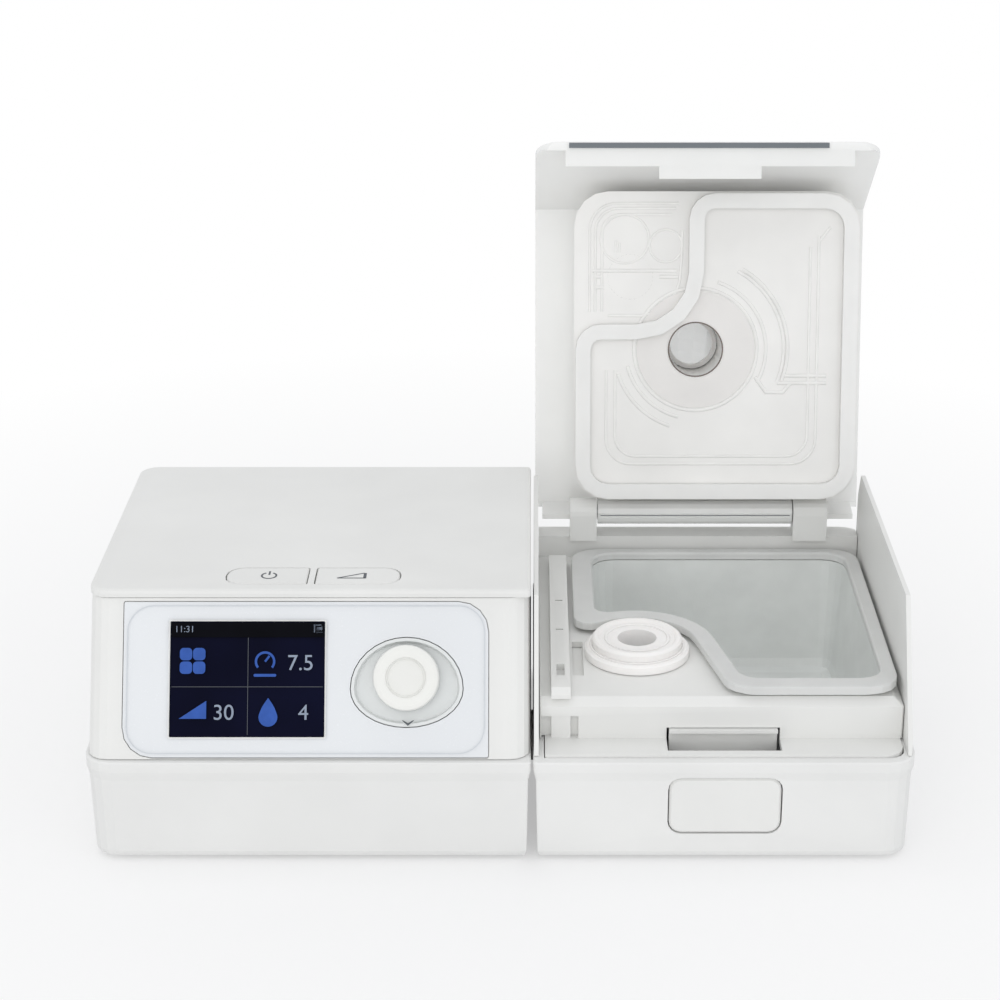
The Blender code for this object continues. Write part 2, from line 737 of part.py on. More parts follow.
def base_tray(name, left, right, radii):
    lip_bottom = LIP_TOP - LIP_HEIGHT
    levels = (
        (BASE_BOTTOM, BASE_DRAFT + BASE_ROUND * ROUND_LOW_SHARE),
        (BASE_BOTTOM + BASE_ROUND * ROUND_MID_SHARE, BASE_DRAFT + BASE_ROUND * ROUND_MID_SHARE),
        (BASE_BOTTOM + BASE_ROUND, BASE_DRAFT),
        (lip_bottom - COVE_HEIGHT, COVE_INSET),
        (lip_bottom, 0.0),
        (LIP_TOP - LIP_ROUND, 0.0),
        (LIP_TOP, LIP_ROUND),
        (LIP_TOP, LIP_REACH + WALL),
        (TRAY_FLOOR, BASE_DRAFT + BASE_ROUND + WALL),
    )
    return loft(name, [body_ring(left, right, z, inset, radii) for z, inset in levels], "shell_white")


def corner_places(left, right, side, edge):
    return [(x, y, 0.0) for x in (left + side, right - side) for y in (edge, BODY_DEPTH - edge)]


def add_feet(name, tray, left, right):
    """Moulded feet under the tray's corners."""
    foot = turned(name, (
        (0.0, TRAY_FLOOR - SEAT), (FOOT_RADIUS, TRAY_FLOOR - SEAT), (FOOT_RADIUS, FOOT_ROUND),
        (FOOT_RADIUS - FOOT_ROUND, 0.0), (0.0, 0.0)), None, ROUND_STEPS)
    boolean(tray, repeat_at(foot, corner_places(left, right, FOOT_INSET, FOOT_INSET)), "UNION")


def add_screw(name, tray, place):
    """Case screw sunk from below into a boss that rises from the tray's floor."""
    head_low = BASE_BOTTOM + SCREW_SUNK
    head_top = head_low + SCREW_HEAD_HEIGHT
    tip = head_top + SCREW_LENGTH
    boss = cylinder(name + "_boss", BOSS_RADIUS, TRAY_FLOOR - SEAT, TRAY_FLOOR + BOSS_HEIGHT)
    hole = turned(name + "_hole", (
        (0.0, tip + SEAT), (SCREW_SHANK + SEAT, tip + SEAT), (SCREW_SHANK + SEAT, head_top + SEAT),
        (SCREW_HEAD + SEAT, head_top + SEAT), (SCREW_HEAD + SEAT, BASE_BOTTOM - OVERRUN),
        (0.0, BASE_BOTTOM - OVERRUN)), None, ROUND_STEPS)
    screw = turned(name, (
        (0.0, tip), (SCREW_SHANK - SCREW_POINT / 2, tip), (SCREW_SHANK, tip - SCREW_POINT),
        (SCREW_SHANK, head_top), (SCREW_HEAD, head_top), (SCREW_HEAD, head_low), (0.0, head_low)),
        "steel", ROUND_STEPS)
    for item in (boss, hole, screw):
        item.location = place
    boolean(tray, boss, "UNION")
    boolean(tray, hole)
    on_machine(screw)


main_tray = base_tray("main_base_tray", MAIN_LEFT, MAIN_RIGHT,
                      (OUTER_CORNER, GAP_CORNER, GAP_CORNER, OUTER_CORNER))
humidifier_tray = base_tray("humidifier_base_tray", HUMIDIFIER_LEFT, HUMIDIFIER_RIGHT,
                            (GAP_CORNER, OUTER_CORNER, OUTER_CORNER, GAP_CORNER))
on_machine(main_tray, humidifier_tray)
add_feet("main_feet", main_tray, MAIN_LEFT, MAIN_RIGHT)
add_feet("humidifier_feet", humidifier_tray, HUMIDIFIER_LEFT, HUMIDIFIER_RIGHT)
add_screw("main_screw", main_tray, (MAIN_LEFT + SCREW_SIDE, SCREW_EDGE, 0.0))
add_screw("humidifier_screw", humidifier_tray, (SCREW_SIDE, SCREW_EDGE, 0.0))


# Blower unit's housing and top cover

def upper_ring(z, inset, front_inset):
    radii = [max(radius - inset, MIN_RADIUS) for radius in (POST_CORNER, POST_CORNER, GAP_CORNER,
        POST_CORNER)]
    left = MAIN_LEFT + LIP_REACH + inset
    right = MAIN_RIGHT - SEAT - inset
    return at_height(rounded(left, right, panel_y(z, front_inset), rear_y(z, inset), radii), z)


housing = loft("main_housing", [
    upper_ring(UPPER_BOTTOM, 0.0, 0.0), upper_ring(REAR_KNEE, 0.0, 0.0), upper_ring(UPPER_TOP, 0.0, 0.0),
    upper_ring(UPPER_TOP, WALL, FRONT_WALL), upper_ring(REAR_KNEE, WALL, FRONT_WALL),
    upper_ring(UPPER_BOTTOM, WALL, FRONT_WALL)], "glossy_white", closed=True)


def cover_ring(z, inset):
    radii = [max(radius - inset, MIN_RADIUS) for radius in (POST_CORNER, GAP_CORNER, GAP_CORNER,
        POST_CORNER)]
    left = MAIN_LEFT + LIP_REACH - COVER_REACH + inset
    return at_height(rounded(left, MAIN_RIGHT - inset, panel_y(COVER_BOTTOM) - COVER_REACH + inset,
                             rear_y(BODY_HEIGHT) + COVER_REACH - inset, radii), z)


cover = loft("top_cover", [
    cover_ring(COVER_BOTTOM, 0.0), cover_ring(BODY_HEIGHT - COVER_ROUND, 0.0),
    cover_ring(BODY_HEIGHT - COVER_ROUND * ROUND_MID_SHARE, COVER_ROUND * ROUND_MID_SHARE),
    cover_ring(BODY_HEIGHT, COVER_ROUND)], "shell_white")


def cut_panel(name, outline, depth):
    """Cut the sloped front from outside to a depth square to the panel."""
    cutter = plate(name, [outline], -depth, OVERRUN)
    on_panel(cutter)
    boolean(housing, cutter)


def overlay_outline(extra):
    radii = [radius + extra for radius in (OVERLAY_CORNER, MIN_RADIUS, OVERLAY_CORNER, MIN_RADIUS)]
    return rounded(OVERLAY_LEFT - extra, OVERLAY_RIGHT + extra, OVERLAY_LOW - extra,
        OVERLAY_HIGH + extra, radii)


def screen_outline(extra):
    radii = [MIN_RADIUS] * 4
    return rounded(SCREEN_LEFT - extra, SCREEN_LEFT + SCREEN_WIDTH + extra,
                   SCREEN_LOW - extra, SCREEN_LOW + SCREEN_HEIGHT + extra, radii, 1)


def dish_outline(extra):
    """Egg outline, round below its widest line and narrower above it."""
    points = []
    for i in range(DISH_POINTS):
        angle = math.tau * i / DISH_POINTS
        rise = DISH_RISE if math.sin(angle) > 0.0 else DISH_DROP
        points.append((DISH_X + (DISH_HALF_WIDTH + extra) * math.cos(angle),
                       DISH_Y + (rise + extra) * math.sin(angle)))
    return points


cut_panel("overlay_recess", overlay_outline(SEAT), RECESS_DEPTH)
cut_panel("screen_opening", screen_outline(SCREEN_BORDER + SEAT), FRONT_WALL + OVERRUN)
cut_panel("dish_opening", dish_outline(SEAT), FRONT_WALL + OVERRUN)
overlay = plate("overlay_panel", [overlay_outline(0.0), screen_outline(SEAT), dish_outline(SEAT)],
                -OVERLAY_THICKNESS, 0.0, "panel_film")
window = plate("display_window", [screen_outline(0.0)], -WINDOW_THICKNESS, 0.0, "clear_window")
lcd = plate("lcd_module", [screen_outline(SCREEN_BORDER)], -HOLDER_FACE + SEAT, -LCD_FACE, "screen")
holder = ring_between("lcd_holder", screen_outline(SCREEN_BORDER),
    screen_outline(SCREEN_BORDER - HOLDER_WALL),
                      -BOARD_FACE + SEAT, -HOLDER_FACE, "black_plastic")

dish = loft("dial_dish", [
    at_height(dish_outline(DISH_FLANGE), -DISH_BACK), at_height(dish_outline(DISH_FLANGE),
        -FRONT_WALL - SEAT),
    at_height(dish_outline(0.0), -FRONT_WALL - SEAT), at_height(dish_outline(0.0), 0.0),
    at_height(dish_outline(-DISH_RIM), 0.0), at_height(dish_outline(-DISH_WALL - DISH_RIM), -DISH_DEPTH)],
    "glossy_white")
shaft_hole = cylinder("shaft_hole", SHAFT_RADIUS + SLIDE, -DISH_BACK - OVERRUN, 0.0, (DISH_X, DIAL_Y))
on_panel(shaft_hole)
boolean(dish, shaft_hole)

knob = turned("dial_knob", (
    (0.0, DIAL_HEIGHT - DIAL_RING_DEPTH), (DIAL_RING - DIAL_RING_DEPTH, DIAL_HEIGHT - DIAL_RING_DEPTH),
    (DIAL_RING, DIAL_HEIGHT), (DIAL_RADIUS - DIAL_CROWN, DIAL_HEIGHT),
    (DIAL_RADIUS - DIAL_CROWN * ROUND_MID_SHARE, DIAL_HEIGHT - DIAL_CROWN * ROUND_MID_SHARE),
    (DIAL_RADIUS, DIAL_HEIGHT - DIAL_CROWN), (DIAL_RADIUS, -DIAL_SKIRT),
    (DIAL_RADIUS - DIAL_WALL, -DIAL_SKIRT), (DIAL_RADIUS - DIAL_WALL, SHAFT_TOP),
    (SHAFT_RADIUS + SEAT, SHAFT_TOP - DIAL_RING_DEPTH), (SHAFT_RADIUS + SEAT, SHAFT_TOP + SEAT),
    (0.0, SHAFT_TOP + SEAT)), "glossy_white", DIAL_STEPS)
shaft = cylinder("encoder_shaft", SHAFT_RADIUS, -PLUNGER_FACE + SEAT, SHAFT_TOP, (0.0, 0.0), "steel")
plunger = cylinder("encoder_plunger", PLUNGER_RADIUS, -PLUNGER_BACK, -PLUNGER_FACE, (0.0, 0.0),
    "black_plastic")
for turning in (knob, shaft, plunger):
    turning.location = (DISH_X, DIAL_Y, 0.0)
half = ENCODER_SIDE / 2
encoder = box("dial_encoder", (DISH_X - half, DISH_X + half), (DIAL_Y - half, DIAL_Y + half),
              (-ENCODER_BACK, -ENCODER_TOP), "black_plastic")
encoder_well = turned("encoder_well", (
    (0.0, OVERRUN), (SHAFT_RADIUS + SLIDE, OVERRUN), (SHAFT_RADIUS + SLIDE, -ENCODER_TOP - ENCODER_WALL),
    (ENCODER_BORE, -ENCODER_TOP - ENCODER_WALL), (ENCODER_BORE, -ENCODER_BACK + ENCODER_WALL),
    (0.0, -ENCODER_BACK + ENCODER_WALL)))
encoder_well.location = (DISH_X, DIAL_Y, 0.0)
boolean(encoder, encoder_well)
on_panel(overlay, window, lcd, holder, dish, knob, shaft, plunger, encoder, encoder_well)

board = plate("control_board", [rounded(BOARD_LEFT, BOARD_RIGHT, BOARD_LOW, BOARD_HIGH,
    [MIN_RADIUS] * 4, 1)],
              -BOARD_FACE - BOARD_THICKNESS, -BOARD_FACE, "board_green")
board_posts = cylinder("board_posts", POST_RADIUS, -BOARD_FACE + SEAT, -FRONT_WALL + SEAT)
repeat_at(board_posts, [(x, y, 0.0) for x in (BOARD_LEFT + BOARD_POST_INSET, BOARD_RIGHT - BOARD_POST_INSET)
                        for y in (BOARD_LOW + BOARD_POST_INSET, BOARD_HIGH - BOARD_POST_INSET)])
on_panel(board, board_posts)
boolean(housing, board_posts, "UNION")
on_machine(housing, cover)


# Keys, switches and their board under the top cover

def keys_outline(left, right, extra, left_radius, right_radius):
    radii = [max(radius + extra, MIN_RADIUS) for radius in (left_radius, right_radius, right_radius,
        left_radius)]
    return rounded(left - extra, right + extra, KEYS_FRONT - extra, KEYS_BACK + extra, radii)


def add_key(name, left, right, left_radius, right_radius):
    def outline(extra):
        return keys_outline(left, right, extra, left_radius, right_radius)
    key = loft(name, [
        at_height(outline(KEY_FLANGE), KEY_BOTTOM), at_height(outline(KEY_FLANGE), KEY_FLANGE_TOP),
        at_height(outline(0.0), KEY_FLANGE_TOP), at_height(outline(0.0), KEY_TOP - KEY_ROUND),
        at_height(outline(-KEY_ROUND), KEY_TOP)], "glossy_white")
    on_machine(key)


key_gap = KEY_FLANGE + SLIDE / 2
boolean(cover, plate("key_opening", [keys_outline(KEYS_LEFT, KEY_SPLIT - key_gap, SLIDE, KEY_CORNER,
    MIN_RADIUS)],
                     COVER_BOTTOM - OVERRUN, BODY_HEIGHT + OVERRUN))
boolean(cover, plate("ramp_opening", [keys_outline(KEY_SPLIT + key_gap, KEYS_RIGHT, SLIDE, MIN_RADIUS,
    KEY_CORNER)],
                     COVER_BOTTOM - OVERRUN, BODY_HEIGHT + OVERRUN))
add_key("start_key", KEYS_LEFT, KEY_SPLIT - key_gap, KEY_CORNER, MIN_RADIUS)
add_key("ramp_key", KEY_SPLIT + key_gap, KEYS_RIGHT, MIN_RADIUS, KEY_CORNER)

key_board = box("key_board", (KEYS_LEFT - KEY_BOARD_REACH, KEYS_RIGHT + KEY_BOARD_REACH),
                (KEY_BOARD_FRONT, KEY_BOARD_BACK), (KEY_BOARD_TOP - BOARD_THICKNESS, KEY_BOARD_TOP),
                "board_green")
key_posts = cylinder("key_posts", POST_RADIUS, KEY_BOARD_TOP + SEAT, COVER_BOTTOM + SEAT)
repeat_at(key_posts, [(x, y, 0.0) for x in (KEYS_LEFT - POST_RADIUS - KEY_FLANGE,
    KEYS_RIGHT + POST_RADIUS + KEY_FLANGE)
                      for y in (KEY_BOARD_FRONT + POST_RADIUS, KEY_BOARD_BACK - POST_RADIUS)])
boolean(cover, key_posts, "UNION")
half = SWITCH_SIDE / 2
middle = (KEYS_FRONT + KEYS_BACK) / 2
mat_low = SWITCH_TOP - SWITCH_HEIGHT
switches = box("key_mat", (KEYS_LEFT, KEYS_RIGHT), (middle - half, middle + half),
    (mat_low, mat_low + MAT_THICKNESS), "silicone")
domes = box("key_domes", (-half, half), (-half, half), (mat_low, SWITCH_TOP))
boolean(switches, repeat_at(domes, [((KEYS_LEFT + KEY_SPLIT) / 2, middle, 0.0),
    ((KEY_SPLIT + KEYS_RIGHT) / 2, middle, 0.0)]),
        "UNION")
on_machine(key_board, switches)


# Blower

def volute_outline(inset):
    """Spiral with a straight mouth towards +X."""
    start = -math.asin(VOLUTE_MOUTH / VOLUTE_START)
    end = 3 * QUARTER
    points = []
    for i in range(VOLUTE_STEPS + 1):
        share = i / VOLUTE_STEPS
        angle = start + (end - start) * share
        radius = VOLUTE_START + (VOLUTE_END - VOLUTE_START) * share - inset
        points.append((BLOWER_X + radius * math.cos(angle), BLOWER_Y + radius * math.sin(angle)))
    reach = BLOWER_X + VOLUTE_REACH - inset
    points.append((reach, BLOWER_Y - VOLUTE_END + inset))
    points.append((reach, BLOWER_Y - VOLUTE_END + VOLUTE_MOUTH - inset))
    return points


outer = volute_outline(0.0)
inner = volute_outline(VOLUTE_WALL)
hollow_bottom = VOLUTE_BOTTOM + VOLUTE_WALL
hollow_top = VOLUTE_TOP - VOLUTE_WALL
lower_case = loft("blower_lower_case", [
    at_height(outer, VOLUTE_BOTTOM), at_height(outer, VOLUTE_SPLIT), at_height(inner, VOLUTE_SPLIT),
    at_height(inner, hollow_bottom)], "black_plastic")
upper_case = loft("blower_upper_case", [
    at_height(outer, VOLUTE_TOP), at_height(outer, VOLUTE_SPLIT + SEAT),
        at_height(inner, VOLUTE_SPLIT + SEAT),
    at_height(inner, hollow_top)], "black_plastic")
mouth_z = (VOLUTE_BOTTOM + VOLUTE_TOP) / 2
mouth_y = BLOWER_Y - VOLUTE_END + VOLUTE_MOUTH / 2
mouth_x = BLOWER_X + VOLUTE_REACH
mouth_half = VOLUTE_MOUTH / 2 - VOLUTE_WALL - MOUTH_LIP
mouth_cut = box("mouth_cut", (mouth_x - VOLUTE_WALL - OVERRUN, mouth_x + OVERRUN),
                (mouth_y - mouth_half, mouth_y + mouth_half),
                (hollow_bottom + MOUTH_LIP, hollow_top - MOUTH_LIP))
boolean(lower_case, mouth_cut)
boolean(upper_case, mouth_cut)
blower_place = (BLOWER_X, BLOWER_Y)
boolean(upper_case, cylinder("inlet_collar", INLET_RADIUS, hollow_top + SEAT, VOLUTE_TOP + INLET_HEIGHT,
    blower_place,
                             steps=2 * ROUND_STEPS), "UNION")
boolean(upper_case, cylinder("inlet_bore", INLET_RADIUS - VOLUTE_WALL, hollow_top - OVERRUN,
                             VOLUTE_TOP + INLET_HEIGHT + OVERRUN, blower_place, steps=2 * ROUND_STEPS))
motor_top = hollow_bottom + SEAT + MOTOR_HEIGHT
motor = turned("blower_motor", (
    (MOTOR_SHAFT + SEAT, motor_top), (MOTOR_RADIUS, motor_top), (MOTOR_RADIUS, hollow_bottom + SEAT),
    (MOTOR_SHAFT + SEAT, hollow_bottom + SEAT)), "steel")
impeller_low = motor_top + IMPELLER_GAP
impeller_high = hollow_top - IMPELLER_GAP
impeller = cylinder("impeller", IMPELLER_RADIUS, impeller_low, impeller_low + IMPELLER_PLATE, (0.0, 0.0),
                    "black_plastic", 2 * ROUND_STEPS)
hub = cylinder("impeller_hub", IMPELLER_HUB, impeller_low, impeller_high)
blade = box("impeller_blades", (IMPELLER_EYE, IMPELLER_RADIUS - IMPELLER_GAP),
    (-BLADE_THICKNESS / 2, BLADE_THICKNESS / 2),
            (impeller_low + SEAT, impeller_high))
turn_mesh(blade, BLADE_SWEEP / 2, "Z")
single_blade = blade.data.copy()
blades = bmesh.new()
for number in range(BLADE_COUNT):
    single_blade.transform(Matrix.Rotation(math.tau / BLADE_COUNT, 4, "Z"))
    blades.from_mesh(single_blade)
blades.to_mesh(blade.data)
blades.free()
boolean(impeller, hub, "UNION")
boolean(impeller, blade, "UNION")
impeller_bore = cylinder("impeller_bore", MOTOR_SHAFT + SEAT, impeller_low - OVERRUN,
    impeller_high - VOLUTE_WALL)
boolean(impeller, impeller_bore)
motor_shaft = cylinder("motor_shaft", MOTOR_SHAFT, hollow_bottom + 2 * SEAT,
    impeller_high - VOLUTE_WALL - SEAT,
                       (0.0, 0.0), "steel")
for spinning in (motor, impeller, motor_shaft, hub, blade, impeller_bore):
    spinning.location = (BLOWER_X, BLOWER_Y, 0.0)
mounts = turned("blower_mount", (
    (MOUNT_INNER, TRAY_FLOOR + SEAT + MOUNT_HEIGHT), (MOUNT_OUTER, TRAY_FLOOR + SEAT + MOUNT_HEIGHT),
    (MOUNT_OUTER, TRAY_FLOOR + SEAT), (MOUNT_INNER, TRAY_FLOOR + SEAT)), "rubber")
mounts.location = (BLOWER_X, BLOWER_Y, 0.0)
on_machine(lower_case, upper_case, motor, impeller, motor_shaft, mounts)


# Air duct to the side and the seal across the split

def add_pipe(name, points, radius, wall, finish):
    pipe = tube(name, points, radius, finish, 3)
    first = [a + (a - b) * SEAT / math.dist(points[0], points[1]) for a, b in zip(points[0], points[1])]
    last = [a + (a - b) * SEAT / math.dist(points[-1], points[-2]) for a, b in zip(points[-1], points[-2])]
    boolean(pipe, tube(name + "_bore", [first, *points, last], radius - wall, None, 3))
    return pipe


duct_start = (mouth_x - DUCT_INSERT, mouth_y, mouth_z)
duct_end = (-COUPLING_HALF + SEAT, COUPLING_Y, COUPLING_Z)
duct_handle = (duct_end[0] - duct_start[0]) / 2
duct = add_pipe("outlet_duct", bezier(
    duct_start, (duct_start[0] + duct_handle, mouth_y, mouth_z),
    (duct_end[0] - duct_handle, COUPLING_Y, COUPLING_Z), duct_end, DUCT_STEPS), DUCT_RADIUS, DUCT_WALL,
    "silicone")
seal_outer = DUCT_RADIUS + SEAT + COUPLING_WALL
coupling = rod_along_x("coupling_seal", seal_outer, -COUPLING_HALF, COUPLING_HALF, COUPLING_Y,
    COUPLING_Z, "silicone")
boolean(coupling, rod_along_x("coupling_bore", DUCT_RADIUS + SEAT, -COUPLING_HALF - OVERRUN,
                              COUPLING_HALF + OVERRUN, COUPLING_Y, COUPLING_Z))
coupling_hole = rod_along_x("coupling_hole", seal_outer + SEAT, -COUPLING_HALF - OVERRUN,
    COUPLING_HALF + OVERRUN,
                            COUPLING_Y, COUPLING_Z)
boolean(main_tray, coupling_hole)
boolean(humidifier_tray, coupling_hole)
on_machine(duct, coupling)


# Rear of the blower unit: filter, memory card and power socket

rear_inside = UPPER_BACK - WALL
filter_left = FILTER_X - FILTER_WIDTH / 2
filter_right = FILTER_X + FILTER_WIDTH / 2
filter_high = FILTER_LOW + FILTER_HEIGHT
boolean(housing, box("filter_opening", (filter_left, filter_right),
    (rear_inside - OVERRUN, UPPER_BACK + OVERRUN),
                     (FILTER_LOW, filter_high)))
cover_back = UPPER_BACK
cover_front = cover_back - FILTER_COVER
filter_cover = box("filter_cover", (filter_left + SLIDE, filter_right - SLIDE), (cover_front, cover_back),
                   (FILTER_LOW + SLIDE, filter_high - SLIDE), "shell_white")
louvre = box("louvre_cuts", (filter_left + LOUVRE_MARGIN, filter_right - LOUVRE_MARGIN),
             (cover_front - OVERRUN, cover_back + OVERRUN), (-LOUVRE_HEIGHT / 2, LOUVRE_HEIGHT / 2))
louvre_pitch = FILTER_HEIGHT / (LOUVRE_COUNT + 1)
repeat_at(louvre, [(0.0, 0.0, FILTER_LOW + louvre_pitch * (i + 1)) for i in range(LOUVRE_COUNT)])
boolean(filter_cover, louvre)
foam_back = cover_front - SEAT
foam = box("air_filter", (filter_left + FILTER_WALL, filter_right - FILTER_WALL),
    (foam_back - FOAM_DEPTH, foam_back),
           (FILTER_LOW + FILTER_WALL, filter_high - FILTER_WALL), "foam")
tray_back = rear_inside - SEAT
filter_tray = box("filter_tray", (filter_left - FILTER_WALL, filter_right + FILTER_WALL),
                  (tray_back - FILTER_DEPTH, tray_back),
                  (FILTER_LOW - FILTER_WALL, filter_high + FILTER_WALL), "black_plastic")
foam_space = FILTER_WALL - SEAT
boolean(filter_tray, box("filter_space", (filter_left + foam_space, filter_right - foam_space),
                         (foam_back - FOAM_DEPTH - SEAT, tray_back + OVERRUN),
                         (FILTER_LOW + foam_space, filter_high - foam_space)))
boolean(filter_tray, box("filter_breather", (filter_left + LOUVRE_MARGIN, filter_right - LOUVRE_MARGIN),
                         (tray_back - FILTER_DEPTH - OVERRUN, tray_back),
                         (FILTER_LOW + LOUVRE_MARGIN, filter_high - LOUVRE_MARGIN)))

card_left = CARD_X - CARD_WIDTH / 2
card_right = CARD_X + CARD_WIDTH / 2
card_low = CARD_Z - CARD_THICKNESS / 2
card_high = CARD_Z + CARD_THICKNESS / 2
card_back = UPPER_BACK + CARD_PROUD
card_front = card_back - CARD_LENGTH
slot_hole = box("card_slot", (card_left - SLIDE, card_right + SLIDE),
    (card_front - SEAT, card_back + OVERRUN),
                (card_low - SLIDE, card_high + SLIDE))
card = box("memory_card", (card_left, card_right), (card_front, card_back), (card_low, card_high),
    "black_plastic")
socket = box("card_socket", (card_left - SOCKET_WALL, card_right + SOCKET_WALL),
             (card_front - SOCKET_WALL, rear_inside - SEAT),
             (card_low - SOCKET_WALL, card_high + SOCKET_WALL), "steel")
boolean(socket, slot_hole)
boolean(housing, slot_hole)

power_back = rear_inside - SEAT
power_half = POWER_WIDTH / 2
inlet = box("power_inlet", (POWER_X - power_half, POWER_X + power_half),
    (power_back - POWER_DEPTH, power_back),
            (POWER_Z - POWER_HEIGHT / 2, POWER_Z + POWER_HEIGHT / 2), "black_plastic")
boolean(inlet, rod_along_y("inlet_hole", POWER_BORE, power_back - POWER_BORE_DEPTH,
    UPPER_BACK + OVERRUN, POWER_X, POWER_Z))
boolean(inlet, rod_along_y("inlet_pin", POWER_PIN, power_back - POWER_DEPTH + OVERRUN,
                           power_back - POWER_BORE_DEPTH + POWER_PIN_LENGTH, POWER_X, POWER_Z), "UNION")
boolean(housing, rod_along_y("inlet_opening", POWER_BORE, rear_inside - OVERRUN, UPPER_BACK + OVERRUN,
    POWER_X, POWER_Z))
on_machine(filter_cover, foam, filter_tray, card, socket, inlet)

post_top = TRAY_FLOOR + POWER_POST_HEIGHT
power_board_low = post_top + SEAT
power_board = box("power_board", (POWER_BOARD_LEFT, POWER_BOARD_RIGHT),
    (POWER_BOARD_FRONT, POWER_BOARD_BACK),
                  (power_board_low, power_board_low + BOARD_THICKNESS), "board_green")
power_posts = cylinder("power_posts", POST_RADIUS, TRAY_FLOOR - SEAT, post_top)
repeat_at(power_posts, [(x, y, 0.0) for x in (POWER_BOARD_LEFT + POWER_POST_INSET,
    POWER_BOARD_RIGHT - POWER_POST_INSET)
                        for y in (POWER_BOARD_FRONT + POWER_POST_INSET,
                            POWER_BOARD_BACK - POWER_POST_INSET)])
boolean(main_tray, power_posts, "UNION")
parts_low = power_board_low + BOARD_THICKNESS + SEAT
capacitor = cylinder("capacitor", CAPACITOR_RADIUS, parts_low, parts_low + CAPACITOR_HEIGHT,
                     ((POWER_BOARD_LEFT + POWER_BOARD_RIGHT) / 2,
                     (POWER_BOARD_FRONT + POWER_BOARD_BACK) / 2),
                     "black_plastic")
on_machine(power_board, capacitor)


# Humidifier body

def side_profile(inset):
    back_low = (rear_y(SHELF_TOP, inset), UPPER_BOTTOM)
    return (
        (panel_y(UPPER_BOTTOM, SIDE_SETBACK), UPPER_BOTTOM), back_low,
            (rear_y(REAR_KNEE, inset), REAR_KNEE),
        (rear_y(UPPER_TOP, inset) - SIDE_TIP, UPPER_TOP), (panel_y(UPPER_TOP, SIDE_SETBACK), UPPER_TOP))


def chamber_ring(share, inset, z):
    """Chamber outline between the rim's outside and the mouth, notched round the air port."""
    values = [a + (b - a) * share for a, b in zip(RIM_OUTLINE, MOUTH_OUTLINE)]
    left, right, front, back, notch, corner, small, wide = values
    left, right, front, back = left + inset, right - inset, front + inset, back - inset
    notch += inset
    corner, small, wide = [max(radius - inset, LIP_ROUND) for radius in (corner, small, wide)]
    rise = math.sqrt((notch + small) ** 2 - (left + small - PORT_X) ** 2)
    first = math.atan2(rise, left + small - PORT_X)
    c, s = math.cos(RIM_SLANT), math.sin(RIM_SLANT)
    drop = (PORT_Y + (notch + wide) * s - front - wide) / c
    wide_x = PORT_X + (notch + wide) * c + drop * s
    points = arc(left + corner, back - corner, corner, QUARTER, 2 * QUARTER, CORNER_STEPS)
    points += arc(left + small, PORT_Y + rise, small, 2 * QUARTER, 2 * QUARTER + first, CORNER_STEPS)
    points += arc(PORT_X, PORT_Y, notch, first, RIM_SLANT, NOTCH_STEPS)[1:]
    points += arc(wide_x, front + wide, wide, 2 * QUARTER + RIM_SLANT, 3 * QUARTER, CORNER_STEPS)
    points += arc(right - corner, front + corner, corner, -QUARTER, 0.0, CORNER_STEPS)
    points += arc(right - corner, back - corner, corner, 0.0, QUARTER, CORNER_STEPS)
    return at_height(points, z)


plan_radii = (GAP_CORNER, POST_CORNER, OUTER_CORNER - LIP_REACH, GAP_CORNER)
plan_outline = rounded(SIDE_LEFT, SIDE_RIGHT, 0.0, UPPER_BACK, plan_radii)
plan = plate("plan_trim", [plan_outline], LEDGE_TOP - WALL - OVERRUN, BODY_HEIGHT)
side_left = profile_along_x("side_panel_left", side_profile(0.0), SIDE_LEFT, SIDE_LEFT + SIDE_THICKNESS,
    "shell_white")
side_right = profile_along_x("side_panel_right", side_profile(0.0), SIDE_RIGHT - SIDE_THICKNESS,
    SIDE_RIGHT, "shell_white")
for side in (side_left, side_right):
    boolean(side, plan, "INTERSECT")

deck_low = LEDGE_TOP - LEDGE_THICKNESS
ledge_front = LIP_REACH + WALL + SEAT
inside_back = UPPER_BACK - WALL


def deck_ring(z, front, right):
    return at_height(rounded(HOUSING_LEFT, HOUSING_RIGHT - right, front, UPPER_BACK, [MIN_RADIUS] * 4,
        1), z)


body = loft("humidifier_housing", [
    deck_ring(LEDGE_TOP, FRONT_FACE, 0.0), deck_ring(DECK_EDGE, FRONT_FACE, 0.0),
    deck_ring(DECK_TOP, FRONT_FACE + DECK_SLOPE, DECK_SLOPE)], "shell_white")
ledge_left = HUMIDIFIER_LEFT + LIP_REACH + WALL + SEAT
ledge_right = HUMIDIFIER_RIGHT - LIP_REACH - WALL - SEAT
boolean(body, plate("ledge", [rounded(ledge_left, ledge_right, ledge_front, BODY_DEPTH - ledge_front,
                                      (MIN_RADIUS, POST_CORNER, POST_CORNER, MIN_RADIUS))],
                    deck_low, LEDGE_TOP + LIP_ROUND), "UNION")
boolean(body, box("ledge_trim", (ledge_left - OVERRUN, ledge_right + OVERRUN),
    (ledge_front - OVERRUN, FRONT_FACE),
                  (LEDGE_TOP, DECK_TOP)))
boolean(body, box("shelf", (HOUSING_LEFT, HOUSING_RIGHT), (SHELF_FRONT, UPPER_BACK),
    (LEDGE_TOP, SHELF_TOP)), "UNION")
boolean(body, plan, "INTERSECT")
boolean(body, box("body_hollow", (HOUSING_LEFT + WALL, HOUSING_RIGHT - WALL),
    (FRONT_FACE + WALL, inside_back),
                  (deck_low - OVERRUN, DECK_TOP - DECK_THICKNESS)))
boolean(body, box("shelf_hollow", (HOUSING_LEFT + WALL, HOUSING_RIGHT - WALL),
    (SHELF_FRONT + WALL, inside_back),
                  (DECK_EDGE - WALL, SHELF_TOP - WALL)))
